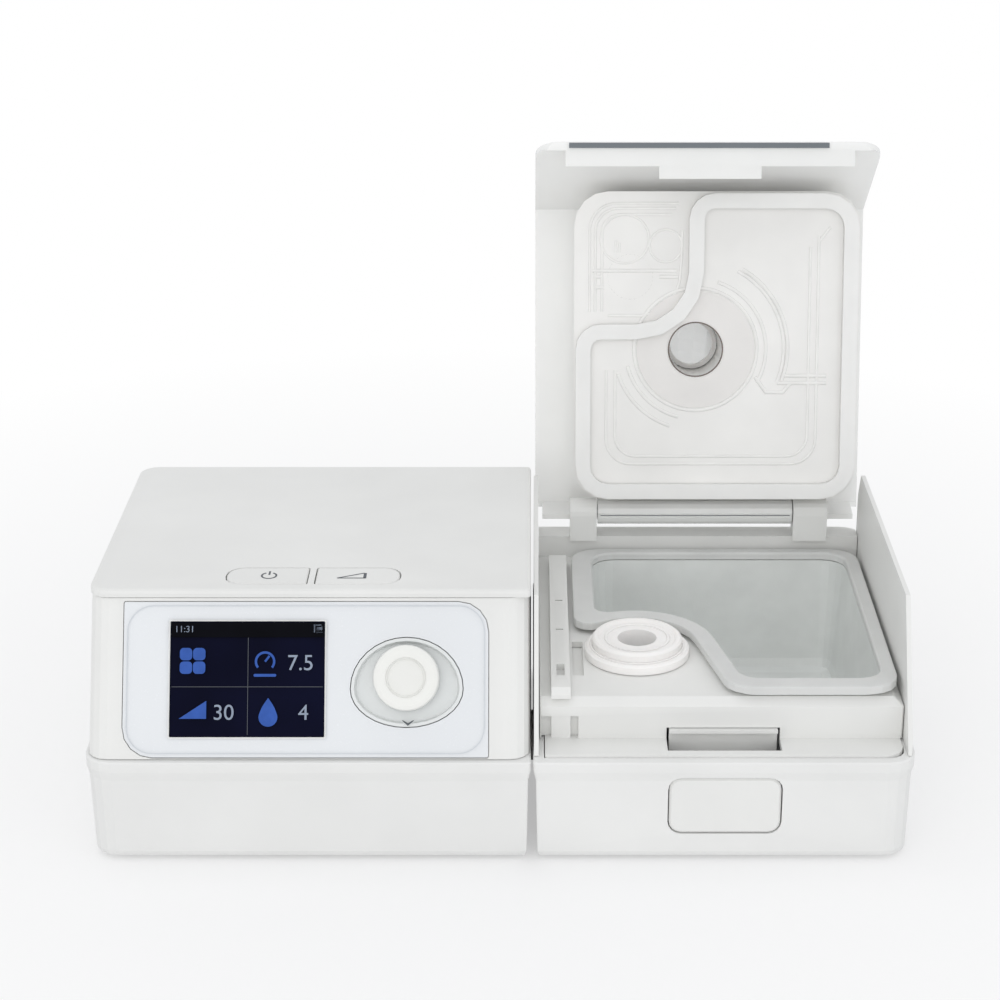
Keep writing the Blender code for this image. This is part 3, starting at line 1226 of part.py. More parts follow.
well_cut = loft("well_cut", [chamber_ring(1.0, -LINER_GAP - TUB_WALL, DECK_TOP - DECK_THICKNESS - OVERRUN),
                             chamber_ring(1.0, -LINER_GAP - TUB_WALL, DECK_TOP + OVERRUN)], None)
boolean(body, well_cut)
boolean(body, box("latch_opening", (BUTTON_LEFT, BUTTON_RIGHT), (LATCH_FRONT, FRONT_FACE + WALL + OVERRUN),
                  (deck_low - OVERRUN, LATCH_TOP)))
boolean(body, box("strip_notch", (NOTCH_LEFT, NOTCH_RIGHT),
    (FRONT_FACE - OVERRUN, FRONT_FACE + WALL + OVERRUN),
                  (LEDGE_TOP, NOTCH_TOP)))
boolean(body, box("port_slot", (SLOT_LEFT, SLOT_RIGHT), (SLOT_FRONT, SLOT_BACK),
                  (DECK_TOP - DECK_THICKNESS - OVERRUN, DECK_TOP + OVERRUN)))


def knuckle_outline():
    points = arc(HINGE_Y, HINGE_Z, KNUCKLE_RADIUS, -QUARTER / 2, 2 * QUARTER, 3 * CORNER_STEPS)
    return points + [(HINGE_Y - KNUCKLE_RADIUS, SHELF_TOP - WALL / 2), (KNUCKLE_BACK, SHELF_TOP - WALL / 2)]


for side, left, right in (("left", KNUCKLE_LEFT, BARREL_LEFT - SLIDE),
    ("right", BARREL_RIGHT + SLIDE, KNUCKLE_RIGHT)):
    boolean(body, profile_along_x("knuckle_" + side, knuckle_outline(), left, right), "UNION")
boolean(body, rod_along_x("knuckle_bore", PIN_RADIUS + SEAT, KNUCKLE_LEFT + WALL, KNUCKLE_RIGHT - WALL,
    HINGE_Y, HINGE_Z))
pin = rod_along_x("hinge_pin", PIN_RADIUS, KNUCKLE_LEFT + WALL + SEAT, KNUCKLE_RIGHT - WALL - SEAT,
    HINGE_Y, HINGE_Z, "steel")

strip_right = STRIP_LEFT + STRIP_WIDTH
strip_low = DECK_TOP + SEAT
strip = profile_along_x("connector_strip", (
    (STRIP_FRONT, strip_low), (STRIP_BACK, strip_low), (STRIP_BACK, STRIP_TOP),
        (STRIP_FRONT + STRIP_LEG, STRIP_TOP),
    (STRIP_FRONT, STRIP_TOP - STRIP_LEG)), STRIP_LEFT, strip_right, "shell_white")
window_left = STRIP_LEFT + (STRIP_WIDTH - STRIP_WINDOW) / 2
boolean(strip, box("strip_window", (window_left, window_left + STRIP_WINDOW),
                   (STRIP_WINDOW_FRONT, STRIP_WINDOW_FRONT + STRIP_WINDOW_LENGTH),
                   (strip_low + STRIP_DASH, STRIP_TOP + OVERRUN)))
for number, dash in enumerate(STRIP_DASHES):
    boolean(strip, box(f"strip_dash_{number}", (window_left, window_left + STRIP_WINDOW),
        (dash, dash + STRIP_DASH),
                       (strip_low + STRIP_DASH, STRIP_TOP + OVERRUN)))
boolean(body, box("strip_block", (STRIP_LEFT, strip_right), (FRONT_FACE + SEAT, FRONT_FACE + WALL),
                  (LEDGE_TOP - LIP_ROUND, NOTCH_TOP + LIP_ROUND)), "UNION")
on_machine(side_left, side_right, body, pin, strip)


# Water chamber, its well and the heater

def chamber_loft(name, levels, finish, closed=False):
    return loft(name, [chamber_ring(*level) for level in levels], finish, closed)


rim_share = RIM_ROUND * ROUND_MID_SHARE
rim = chamber_loft("chamber_rim", (
    (0.0, 0.0, RIM_BOTTOM), (0.0, 0.0, RIM_TOP - RIM_ROUND), (0.0, rim_share, RIM_TOP - rim_share),
        (0.0, RIM_ROUND, RIM_TOP),
    (1.0, -RIM_ROUND, RIM_TOP), (1.0, 0.0, RIM_TOP - RIM_ROUND), (1.0, 0.0, RIM_BOTTOM)), "silicone", True)
round_top = TUB_FLOOR + TUB_ROUND
knee = TUB_ROUND * ROUND_MID_SHARE
tub = chamber_loft("chamber_tub", (
    (1.0, TUB_DRAFT + TUB_ROUND, TUB_FLOOR), (1.0, TUB_DRAFT + knee, TUB_FLOOR + knee),
        (1.0, TUB_DRAFT, round_top),
    (1.0, 0.0, TUB_FLANGE_TOP), (TUB_FLANGE_SHARE, 0.0, TUB_FLANGE_TOP),
    (TUB_FLANGE_SHARE, 0.0, TUB_FLANGE_TOP - TUB_FLANGE), (1.0, -TUB_WALL, TUB_FLANGE_TOP - TUB_FLANGE),
    (1.0, TUB_DRAFT - TUB_WALL, round_top), (1.0, TUB_DRAFT + knee - TUB_WALL, TUB_BOTTOM + knee),
    (1.0, TUB_DRAFT + TUB_ROUND, TUB_BOTTOM)), "aluminium")
liner_in = -TUB_WALL - LINER_GAP
liner_out = liner_in - LINER_WALL
liner_floor = LINER_BOTTOM + LINER_FLOOR
liner = chamber_loft("chamber_well", (
    (1.0, liner_out + TUB_DRAFT, LINER_BOTTOM), (1.0, liner_out, LINER_TOP), (1.0, liner_in, LINER_TOP),
    (1.0, liner_in + TUB_DRAFT, liner_floor), (1.0, LINER_SHELF, liner_floor),
    (1.0, LINER_SHELF, LINER_BOTTOM)),
    "shell_white", True)
heater = chamber_loft("heater_plate", (
    (1.0, HEATER_INSET, HEATER_BOTTOM), (1.0, HEATER_INSET, HEATER_TOP)), "aluminium")
element = cylinder("heater_element", ELEMENT_RADIUS, LINER_BOTTOM, HEATER_BOTTOM - SEAT,
    (ELEMENT_X, ELEMENT_Y),
                   "black_plastic", 2 * ROUND_STEPS)
on_machine(rim, tub, liner, heater, element)


# Air port with the elbow under it

port = turned("air_port_seal", (
    (PORT_BORE, PORT_TOP - PORT_ROUND), (PORT_DISC - PORT_LIP, PORT_TOP - PORT_ROUND),
        (PORT_DISC - PORT_LIP + PORT_ROUND, PORT_TOP),
    (PORT_DISC - PORT_ROUND, PORT_TOP), (PORT_DISC, PORT_TOP - PORT_ROUND), (PORT_DISC, PORT_SHOULDER),
    (PORT_FLANGE - PORT_ROUND, PORT_SHOULDER), (PORT_FLANGE, PORT_SHOULDER - PORT_ROUND),
    (PORT_FLANGE, DECK_TOP + SEAT),
    (PORT_SOCKET, DECK_TOP + SEAT), (PORT_SOCKET, DECK_TOP - DECK_THICKNESS - WALL),
    (DUCT_RADIUS + SEAT, DECK_TOP - DECK_THICKNESS - WALL),
    (DUCT_RADIUS + SEAT, DECK_TOP), (PORT_BORE, DECK_TOP)), "silicone", DIAL_STEPS)
port.location = (PORT_X, PORT_Y, 0.0)
boolean(body, cylinder("port_hole", PORT_SOCKET + SEAT, DECK_TOP - DECK_THICKNESS - OVERRUN,
    DECK_TOP + OVERRUN,
                       (PORT_X, PORT_Y), steps=2 * ROUND_STEPS))
port_start = (SEAT * 2, COUPLING_Y, COUPLING_Z)
port_end = (PORT_X, PORT_Y, DECK_TOP - SEAT)
port_bend = (PORT_X - DUCT_RADIUS * 2, PORT_Y, COUPLING_Z)
port_rise = (PORT_X, PORT_Y, COUPLING_Z + DUCT_RADIUS * 2)
port_path = [port_start, *bezier(port_bend, (PORT_X, PORT_Y, COUPLING_Z), (PORT_X, PORT_Y, COUPLING_Z),
    port_rise, DUCT_STEPS), port_end]
port_duct = add_pipe("port_duct", port_path, DUCT_RADIUS, DUCT_WALL, "black_plastic")
on_machine(port, port_duct)


# Lid, drawn in its closed place

def lid_profile():
    skirt_out_end = panel_y(SKIRT_END)
    skirt_in_end = panel_y(SKIRT_END + FLANGE_THICKNESS, SKIRT_THICKNESS)
    top_front = panel_y(BODY_HEIGHT - LID_ROUND)
    under_front = panel_y(LID_UNDER, SKIRT_THICKNESS)
    return (
        (skirt_out_end, SKIRT_END), (FLANGE_REACH, SKIRT_END), (FLANGE_REACH, SKIRT_END + FLANGE_THICKNESS),
        (skirt_in_end, SKIRT_END + FLANGE_THICKNESS), (under_front, LID_UNDER),
        (rear_y(LID_UNDER, SKIRT_THICKNESS), LID_UNDER),
        (rear_y(REAR_SKIRT_END, SKIRT_THICKNESS), REAR_SKIRT_END),
        (rear_y(REAR_SKIRT_END), REAR_SKIRT_END), (rear_y(BODY_HEIGHT - LID_ROUND),
        BODY_HEIGHT - LID_ROUND),
        (rear_y(BODY_HEIGHT) - LID_ROUND, BODY_HEIGHT), (top_front + LID_ROUND, BODY_HEIGHT),
        (top_front, BODY_HEIGHT - LID_ROUND))


lid = profile_along_x("lid_shell", lid_profile(), LID_LEFT, LID_RIGHT, "shell_white")
flange_low = SKIRT_END - OVERRUN
flange_high = SKIRT_END + FLANGE_THICKNESS + SEAT
flange_front = panel_y(SKIRT_END + FLANGE_THICKNESS, SKIRT_THICKNESS)
for side, left, right in (("left", LID_LEFT - OVERRUN, FLANGE_LEFT),
    ("right", FLANGE_RIGHT, LID_RIGHT + OVERRUN)):
    boolean(lid, box("flange_end_" + side, (left, right), (flange_front + SEAT, FLANGE_REACH + OVERRUN),
        (flange_low, flange_high)))
rear_front = rear_y(BODY_HEIGHT) - SKIRT_THICKNESS - SIDE_TIP
for side, left, right in (("left", LID_LEFT - OVERRUN, LID_LEFT + LID_SIDE_CLEAR),
                          ("right", LID_RIGHT - LID_SIDE_CLEAR, LID_RIGHT + OVERRUN)):
    boolean(lid, box("rear_end_" + side, (left, right), (rear_front, BODY_DEPTH),
        (REAR_SKIRT_END - OVERRUN, LID_UNDER - SEAT)))
boolean(lid, box("lid_tab", (TAB_LEFT, TAB_RIGHT), (FLANGE_REACH - OVERRUN, TAB_REACH),
                 (SKIRT_END + FLANGE_THICKNESS - TAB_THICKNESS - SEAT / 2,
                 SKIRT_END + FLANGE_THICKNESS - SEAT / 2)), "UNION")


def skirt_corner(name, x, direction):
    """Cutter that rounds a lower corner of the front skirt, drawn on the panel's plane."""
    low = (SKIRT_END - LIP_TOP) / math.cos(PANEL_LEAN) - SEAT
    high = low + LID_CORNER
    start = 2 * QUARTER if direction > 0 else 0.0
    bend = arc(x + direction * LID_CORNER, high, LID_CORNER, start,
        3 * QUARTER if direction > 0 else -QUARTER, 2 * CORNER_STEPS)
    outside = x - direction * OVERRUN
    outline = [(outside, high), *bend, (x + direction * LID_CORNER, low - OVERRUN),
        (outside, low - OVERRUN)]
    cutter = plate(name, [outline], -SKIRT_THICKNESS - OVERRUN, OVERRUN)
    on_panel_closed = Matrix.Translation((0.0, PANEL_FOOT,
        LIP_TOP)) @ Matrix.Rotation(QUARTER - PANEL_LEAN, 4, "X")
    cutter.data.transform(on_panel_closed)
    return cutter


boolean(lid, skirt_corner("skirt_corner_left", LID_LEFT, 1))
boolean(lid, skirt_corner("skirt_corner_right", LID_RIGHT, -1))
web_top = rear_y(LID_UNDER, SKIRT_THICKNESS)
barrel = rod_along_x("barrel", BARREL_RADIUS, BARREL_LEFT, BARREL_RIGHT, HINGE_Y, HINGE_Z)
web_back = profile_along_x("web_back", ((HINGE_Y - WEB_THICKNESS, HINGE_Z),
    (HINGE_Y + WEB_THICKNESS, HINGE_Z),
                                        (web_top + SEAT, LID_UNDER + SEAT),
                                        (web_top - WEB_THICKNESS * 2, LID_UNDER + SEAT)),
                           BARREL_LEFT + SEAT, BARREL_RIGHT - SEAT)
bore = rod_along_x("barrel_bore", PIN_RADIUS + SEAT, BARREL_LEFT - OVERRUN, BARREL_RIGHT + OVERRUN,
    HINGE_Y, HINGE_Z)
boolean(lid, web_back, "UNION")
boolean(lid, barrel, "UNION")
boolean(lid, bore)

collar_place = (OUTLET_X, OUTLET_Y)
stem_hole = cylinder("stem_hole", ELBOW_RADIUS + SLIDE, LID_UNDER - OVERRUN, BODY_HEIGHT + OVERRUN,
    collar_place, steps=2 * ROUND_STEPS)
boolean(lid, stem_hole)
trim_front = panel_y(SKIRT_END) + SEAT
trim = box("lid_trim", (TRIM_LEFT, TRIM_RIGHT), (trim_front, trim_front + SKIRT_THICKNESS),
           (SKIRT_END - SEAT - TRIM_HEIGHT, SKIRT_END - SEAT), "grey_trim")


# Clear inner cover with its outlet collar, gasket and seal

def clear_ring(z, inset):
    share = (z - CLEAR_BOTTOM) / (CLEAR_TOP - CLEAR_BOTTOM)
    front = CLEAR_FRONT + (CLEAR_TOP_FRONT - CLEAR_FRONT) * share
    side = CLEAR_TOP_INSET * share
    radii = [CLEAR_CORNER - inset] * 4
    return at_height(rounded(CLEAR_LEFT + side + inset, CLEAR_RIGHT - side - inset, front + inset,
                             CLEAR_BACK - side - inset, radii), z)


clear = loft("lid_clear_cover", [
    clear_ring(CLEAR_BOTTOM, 0.0), clear_ring(CLEAR_TOP, 0.0), clear_ring(CLEAR_TOP, CLEAR_WALL),
    clear_ring(CLEAR_BOTTOM + CLEAR_WALL, CLEAR_WALL)], "clear_plastic")
collar_out = OUTLET_RADIUS + COLLAR_WALL
boolean(clear, cylinder("outlet_collar", collar_out, CLEAR_BOTTOM + SEAT, CLEAR_TOP, collar_place,
    steps=2 * ROUND_STEPS), "UNION")
boolean(clear, cylinder("outlet_bore", OUTLET_RADIUS, CLEAR_BOTTOM - OVERRUN, CLEAR_TOP + OVERRUN,
    collar_place, steps=2 * ROUND_STEPS))
boolean(clear, cylinder("inlet_port", INLET_HOLE, CLEAR_BOTTOM - OVERRUN,
    CLEAR_BOTTOM + CLEAR_WALL + OVERRUN,
                        (PORT_X, PORT_Y), steps=2 * ROUND_STEPS))


def gasket_outline(inset):
    """Band outline that follows the cover and steps inwards round the air port."""
    left, right = CLEAR_LEFT + GASKET_INSET + inset, CLEAR_RIGHT - GASKET_INSET - inset
    front, back = CLEAR_FRONT + GASKET_INSET + inset, CLEAR_BACK - GASKET_INSET - inset
    step_x, step_y = GASKET_NOTCH_X + inset, GASKET_NOTCH_Y + inset
    convex = max(CLEAR_CORNER - inset, MIN_RADIUS)
    turn = max(GASKET_BEND - inset, MIN_RADIUS)
    hollow = GASKET_SWEEP + inset
    points = arc(left + convex, back - convex, convex, QUARTER, 2 * QUARTER, CORNER_STEPS)
    points += arc(left + turn, step_y + turn, turn, 2 * QUARTER, 3 * QUARTER, CORNER_STEPS)
    points += arc(step_x - hollow, step_y - hollow, hollow, QUARTER, 0.0, CORNER_STEPS)
    points += arc(step_x + turn, front + turn, turn, 2 * QUARTER, 3 * QUARTER, CORNER_STEPS)
    points += arc(right - convex, front + convex, convex, -QUARTER, 0.0, CORNER_STEPS)
    points += arc(right - convex, back - convex, convex, 0.0, QUARTER, CORNER_STEPS)
    return points


gasket = ring_between("lid_gasket", gasket_outline(0.0), gasket_outline(GASKET_WIDTH),
    GASKET_TOP - GASKET_HEIGHT, GASKET_TOP, "silicone")
stem_low = CLEAR_TOP - SEAL_HEIGHT
elbow_low = CLEAR_TOP + SEAT
elbow_top = BODY_HEIGHT + ELBOW_RISE
bend = arc(ELBOW_BEND, elbow_top - ELBOW_BEND, ELBOW_BEND, 2 * QUARTER, QUARTER, ELBOW_STEPS)
elbow_path = [(0.0, 0.0, elbow_low), *[(0.0, y, z) for y, z in bend], (0.0, ELBOW_REACH, elbow_top)]
elbow = add_pipe("outlet_elbow", elbow_path, ELBOW_RADIUS, ELBOW_WALL, "shell_white")
elbow_flange = turned("elbow_flange", (
    (ELBOW_RADIUS - ELBOW_WALL / 2, BODY_HEIGHT + SEAT + ELBOW_COLLAR_HEIGHT),
        (ELBOW_COLLAR, BODY_HEIGHT + SEAT + ELBOW_COLLAR_HEIGHT),
    (ELBOW_COLLAR, BODY_HEIGHT + SEAT), (ELBOW_RADIUS - ELBOW_WALL / 2, BODY_HEIGHT + SEAT)))
boolean(elbow, elbow_flange, "UNION")
seal_ring = turned("outlet_seal_ring", (
    (OUTLET_RADIUS - SEAT - SEAL_WALL, CLEAR_TOP), (OUTLET_RADIUS - SEAT, CLEAR_TOP),
        (OUTLET_RADIUS - SEAT, stem_low),
    (OUTLET_RADIUS - SEAT - SEAL_WALL, stem_low)), "silicone")
on_lid(lid, trim, clear, gasket, elbow, seal_ring)
for item in (elbow, elbow.modifiers[0].object, elbow_flange, seal_ring):
    item.location = (OUTLET_X, OUTLET_Y, 0.0)


# Release button in the base with the latch it moves

def button_outline(extra):
    """Outline in width and height of the button."""
    return rounded(BUTTON_LEFT - extra, BUTTON_RIGHT + extra, BUTTON_LOW - extra, BUTTON_HIGH + extra,
        [BUTTON_CORNER + extra] * 4)


def facing_front(points, y):
    return [(x, y, z) for x, z in points]


button = loft("release_button", [
    facing_front(button_outline(-SLIDE - BUTTON_ROUND), BUTTON_FACE),
        facing_front(button_outline(-SLIDE), BUTTON_FACE + BUTTON_ROUND),
    facing_front(button_outline(-SLIDE), BUTTON_FACE + BUTTON_THICKNESS)], "shell_white")
boolean(humidifier_tray, loft("button_opening", [
    facing_front(button_outline(0.0), -OVERRUN), facing_front(button_outline(0.0),
        BUTTON_FACE + BUTTON_THICKNESS + OVERRUN * 2)], None))
catch_left = BUTTON_LEFT + CATCH_INSET
catch_right = BUTTON_RIGHT - CATCH_INSET
catch_back = CATCH_FRONT + CATCH_THICKNESS
catch_top = LATCH_TOP - SEAT
arm_front = BUTTON_FACE + BUTTON_THICKNESS + SEAT
catch = profile_along_x("latch_catch", (
    (CATCH_FRONT, CATCH_LOW), (catch_back, CATCH_LOW), (catch_back, catch_top),
        (CATCH_FRONT - CATCH_NOSE, catch_top),
    (CATCH_FRONT - CATCH_NOSE, catch_top - CATCH_NOSE_HEIGHT),
    (CATCH_FRONT, catch_top - CATCH_NOSE_HEIGHT)),
    catch_left, catch_right, "shell_white")
for side, left in (("left", catch_left + CATCH_ARM_WIDTH), ("right", catch_right - 2 * CATCH_ARM_WIDTH)):
    boolean(catch, box("catch_arm_" + side, (left, left + CATCH_ARM_WIDTH), (arm_front, CATCH_FRONT + SEAT),
                       (CATCH_LOW + CATCH_ARM, CATCH_LOW + 2 * CATCH_ARM)), "UNION")
boolean(humidifier_tray, box("spring_stop", (catch_left, catch_right), (SPRING_STOP, SPRING_STOP + WALL),
                             (TRAY_FLOOR - SEAT, SPRING_STOP_TOP)), "UNION")
spring_front = arm_front + LATCH_TRAVEL + SPRING_WIRE
spring_length = SPRING_STOP - SEAT - SPRING_WIRE - spring_front
coil_points = []
for i in range(SPRING_TURNS * SPRING_POINTS + 1):
    angle = math.tau * i / SPRING_POINTS
    depth = spring_front + spring_length * i / (SPRING_TURNS * SPRING_POINTS)
    coil_points.append((SPRING_RADIUS * math.cos(angle), depth, SPRING_Z + SPRING_RADIUS * math.sin(angle)))
springs = tube("latch_spring", coil_points, SPRING_WIRE, "steel", 0)
springs.location.x = (BUTTON_LEFT + BUTTON_RIGHT) / 2
on_machine(button, catch, springs)


# Origin under the middle of the machine

def place_origin():
    graph = bpy.context.evaluated_depsgraph_get()
    low, high = [math.inf] * 3, [-math.inf] * 3
    for item in PARTS.objects:
        if item.type != "MESH":
            continue
        shown = item.evaluated_get(graph)
        mesh = shown.to_mesh()
        for vertex in mesh.vertices:
            point = shown.matrix_world @ vertex.co
            for k in range(3):
                low[k] = min(low[k], point[k])
                high[k] = max(high[k], point[k])
        shown.to_mesh_clear()
    MACHINE.location = (-(low[0] + high[0]) / 2, -(low[1] + high[1]) / 2, -low[2])


for tool in TOOLS.objects:
    if tool.parent is None:
        tool.parent = MACHINE
place_origin()
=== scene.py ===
import math
import bpy
import bmesh
from mathutils import Matrix, Vector


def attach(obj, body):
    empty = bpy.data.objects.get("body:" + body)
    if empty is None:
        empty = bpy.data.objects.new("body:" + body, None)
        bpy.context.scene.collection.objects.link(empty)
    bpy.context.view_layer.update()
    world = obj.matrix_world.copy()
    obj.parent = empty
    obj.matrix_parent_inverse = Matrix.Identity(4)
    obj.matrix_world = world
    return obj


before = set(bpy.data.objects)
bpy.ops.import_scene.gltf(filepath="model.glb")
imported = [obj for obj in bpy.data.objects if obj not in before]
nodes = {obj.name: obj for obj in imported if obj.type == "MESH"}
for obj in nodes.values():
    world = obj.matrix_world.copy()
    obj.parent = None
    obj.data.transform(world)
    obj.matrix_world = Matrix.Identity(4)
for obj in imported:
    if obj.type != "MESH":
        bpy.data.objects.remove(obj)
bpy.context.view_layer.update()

# Places on the machine are in millimetres from the split between the units, the lip's front and the table;
# the camera, lamps and floor are in metres.
mm = 0.001
originShift = Vector((0.0101, -0.09740676, 0.0))
panelLean = math.radians(27.1)
panelFoot = Vector((0.0, 2.0 * mm, 36.0 * mm))
hinge = Vector((0.0, 137.0 * mm, 67.0 * mm))
lidOpen = math.radians(-102.0)
quarterTurn = math.radians(90.0)

onBody = Matrix.Translation(originShift)
onPanel = onBody @ Matrix.Translation(panelFoot) @ Matrix.Rotation(quarterTurn - panelLean, 4, "X")
onLid = onBody @ Matrix.Translation(hinge) @ Matrix.Rotation(lidOpen, 4, "X") @ Matrix.Translation(-hinge)

print("stage and light")

cameraValues = {"place": (0.0101, -0.7399, 0.3785), "tilt": 68.5, "lens": 82.44, "shift": -0.032,
                "sensor": 36.0, "near": 0.05}
cameraTilt = math.radians(cameraValues["tilt"])
bpy.ops.object.camera_add(location=cameraValues["place"], rotation=(cameraTilt, 0.0, 0.0))
camera = bpy.context.object
camera.name = "photoCamera"
camera.data.lens = cameraValues["lens"]
camera.data.sensor_width = cameraValues["sensor"]
camera.data.shift_x = cameraValues["shift"]
camera.data.clip_start = cameraValues["near"]
bpy.context.scene.camera = camera
bpy.context.scene.view_settings.view_transform = "Standard"

lampValues = {
    "frontLamp": {"place": (-0.35, -1.6, 0.75), "size": 1.5, "power": 5.6, "colour": (1.0, 0.99, 0.975)},
    "fillLamp": {"place": (1.1, -1.0, 0.7), "size": 1.2, "power": 1.6, "colour": (0.96, 0.98, 1.0)},
    "topLamp": {"place": (-0.3, 0.3, 1.5), "size": 1.0, "power": 1.8, "colour": (1.0, 1.0, 1.0)},
}
lampAim = Vector((0.0, 0.0, 0.06))
for name, values in lampValues.items():
    bpy.ops.object.light_add(type="AREA", location=values["place"])
    lamp = bpy.context.object
    lamp.name = name
    lamp.data.size = values["size"]
    lamp.data.energy = values["power"]
    lamp.data.color = values["colour"]
    aim = lampAim - Vector(values["place"])
    lamp.rotation_euler = aim.to_track_quat("-Z", "Y").to_euler()

skyValues = {"light": (0.94, 0.95, 0.97, 1.0), "strength": 0.83, "seen": (1.0, 1.0, 1.0, 1.0)}
world = bpy.data.worlds.new("paleRoom")
bpy.context.scene.world = world
world.use_nodes = True
tree = world.node_tree
tree.nodes.clear()
lightSide = tree.nodes.new("ShaderNodeBackground")
lightSide.inputs["Color"].default_value = skyValues["light"]
lightSide.inputs["Strength"].default_value = skyValues["strength"]
seenSide = tree.nodes.new("ShaderNodeBackground")
seenSide.inputs["Color"].default_value = skyValues["seen"]
path = tree.nodes.new("ShaderNodeLightPath")
either = tree.nodes.new("ShaderNodeMath")
either.operation = "MAXIMUM"
tree.links.new(path.outputs["Is Camera Ray"], either.inputs[0])
tree.links.new(path.outputs["Is Transmission Ray"], either.inputs[1])
mixed = tree.nodes.new("ShaderNodeMixShader")
tree.links.new(either.outputs[0], mixed.inputs[0])
tree.links.new(lightSide.outputs[0], mixed.inputs[1])
tree.links.new(seenSide.outputs[0], mixed.inputs[2])
skyOut = tree.nodes.new("ShaderNodeOutputWorld")
tree.links.new(mixed.outputs[0], skyOut.inputs["Surface"])

floorValues = {"size": 12.0, "place": (0.0, 2.0, 0.0),
               "fade": {"From Min": 0.12, "From Max": 0.45, "To Min": 0.45, "To Max": 1.0}}
bpy.ops.mesh.primitive_plane_add(size=floorValues["size"], location=floorValues["place"])
floor = bpy.context.object
floor.name = "paleFloor"

print("materials")


def newMaterial(name):
    made = bpy.data.materials.new(name)
    made.use_nodes = True
    made.node_tree.nodes.clear()
    out = made.node_tree.nodes.new("ShaderNodeOutputMaterial")
    shader = made.node_tree.nodes.new("ShaderNodeBsdfPrincipled")
    made.node_tree.links.new(shader.outputs["BSDF"], out.inputs["Surface"])
    return made, made.node_tree, shader


# how the shade, the paler edges, the painted shade in inner corners and the fine texture are made on every
# finish
paint = {"slowDetail": 3.0, "toneLow": 0.3, "toneHigh": 0.7, "toneLift": 0.5, "edgeShadeLow": 0.42,
         "edgeShadeHigh": 0.58, "paleEdgeLift": 0.4, "fineDetail": 4.0, "fineRoughness": 0.6, "leastRough": 0.02}


def surface(name, colour, rough, grain=2600.0, bump=0.06, depth=0.00003, shade=0.03, cloud=28.0,
            metal=0.0, edge=0.0, spread=0.05, stretch=(1.0, 1.0, 1.0), **sockets):
    made, tree, shader = newMaterial(name)
    link = tree.links.new
    place = tree.nodes.new("ShaderNodeTexCoord")
    scale = tree.nodes.new("ShaderNodeMapping")
    scale.inputs["Scale"].default_value = stretch
    link(place.outputs["Object"], scale.inputs["Vector"])
    # slow change of shade over the whole moulding
    slow = tree.nodes.new("ShaderNodeTexNoise")
    slow.inputs["Scale"].default_value = cloud
    slow.inputs["Detail"].default_value = paint["slowDetail"]
    link(scale.outputs["Vector"], slow.inputs["Vector"])
    tone = tree.nodes.new("ShaderNodeValToRGB")
    tone.color_ramp.elements[0].position = paint["toneLow"]
    tone.color_ramp.elements[1].position = paint["toneHigh"]
    tone.color_ramp.elements[0].color = [c * (1.0 - shade) for c in colour] + [1.0]
    pale = 1.0 + shade * paint["toneLift"]
    tone.color_ramp.elements[1].color = [min(c * pale, 1.0) for c in colour] + [1.0]
    link(slow.outputs["Fac"], tone.inputs["Fac"])
    last = tone.outputs["Color"]
    if edge:
        # outer edges are a little paler, and inner corners are darkened a little as painted shade
        geometry = tree.nodes.new("ShaderNodeNewGeometry")
        paleEdgeCornerShade = tree.nodes.new("ShaderNodeMapRange")
        paleEdgeCornerShade.inputs["From Min"].default_value = paint["edgeShadeLow"]
        paleEdgeCornerShade.inputs["From Max"].default_value = paint["edgeShadeHigh"]
        paleEdgeCornerShade.inputs["To Min"].default_value = 1.0 - edge
        paleEdgeCornerShade.inputs["To Max"].default_value = 1.0 + edge * paint["paleEdgeLift"]
        link(geometry.outputs["Pointiness"], paleEdgeCornerShade.inputs["Value"])
        mixer = tree.nodes.new("ShaderNodeMix")
        mixer.data_type = "RGBA"
        mixer.blend_type = "MULTIPLY"
        mixer.inputs["Factor"].default_value = 1.0
        link(last, mixer.inputs[6])
        link(paleEdgeCornerShade.outputs["Result"], mixer.inputs[7])
        last = mixer.outputs[2]
    link(last, shader.inputs["Base Color"])
    # the fine texture of the mould
    fine = tree.nodes.new("ShaderNodeTexNoise")
    fine.inputs["Scale"].default_value = grain
    fine.inputs["Detail"].default_value = paint["fineDetail"]
    fine.inputs["Roughness"].default_value = paint["fineRoughness"]
    link(scale.outputs["Vector"], fine.inputs["Vector"])
    relief = tree.nodes.new("ShaderNodeBump")
    relief.inputs["Strength"].default_value = bump
    relief.inputs["Distance"].default_value = depth
    link(fine.outputs["Fac"], relief.inputs["Height"])
    link(relief.outputs["Normal"], shader.inputs["Normal"])
    gloss = tree.nodes.new("ShaderNodeMapRange")
    gloss.inputs["To Min"].default_value = max(rough - spread, paint["leastRough"])
    gloss.inputs["To Max"].default_value = min(rough + spread, 1.0)
    link(fine.outputs["Fac"], gloss.inputs["Value"])
    link(gloss.outputs["Result"], shader.inputs["Roughness"])
    shader.inputs["Metallic"].default_value = metal
    for socket, value in sockets.items():
        shader.inputs[socket.replace("_", " ")].default_value = value
    return made


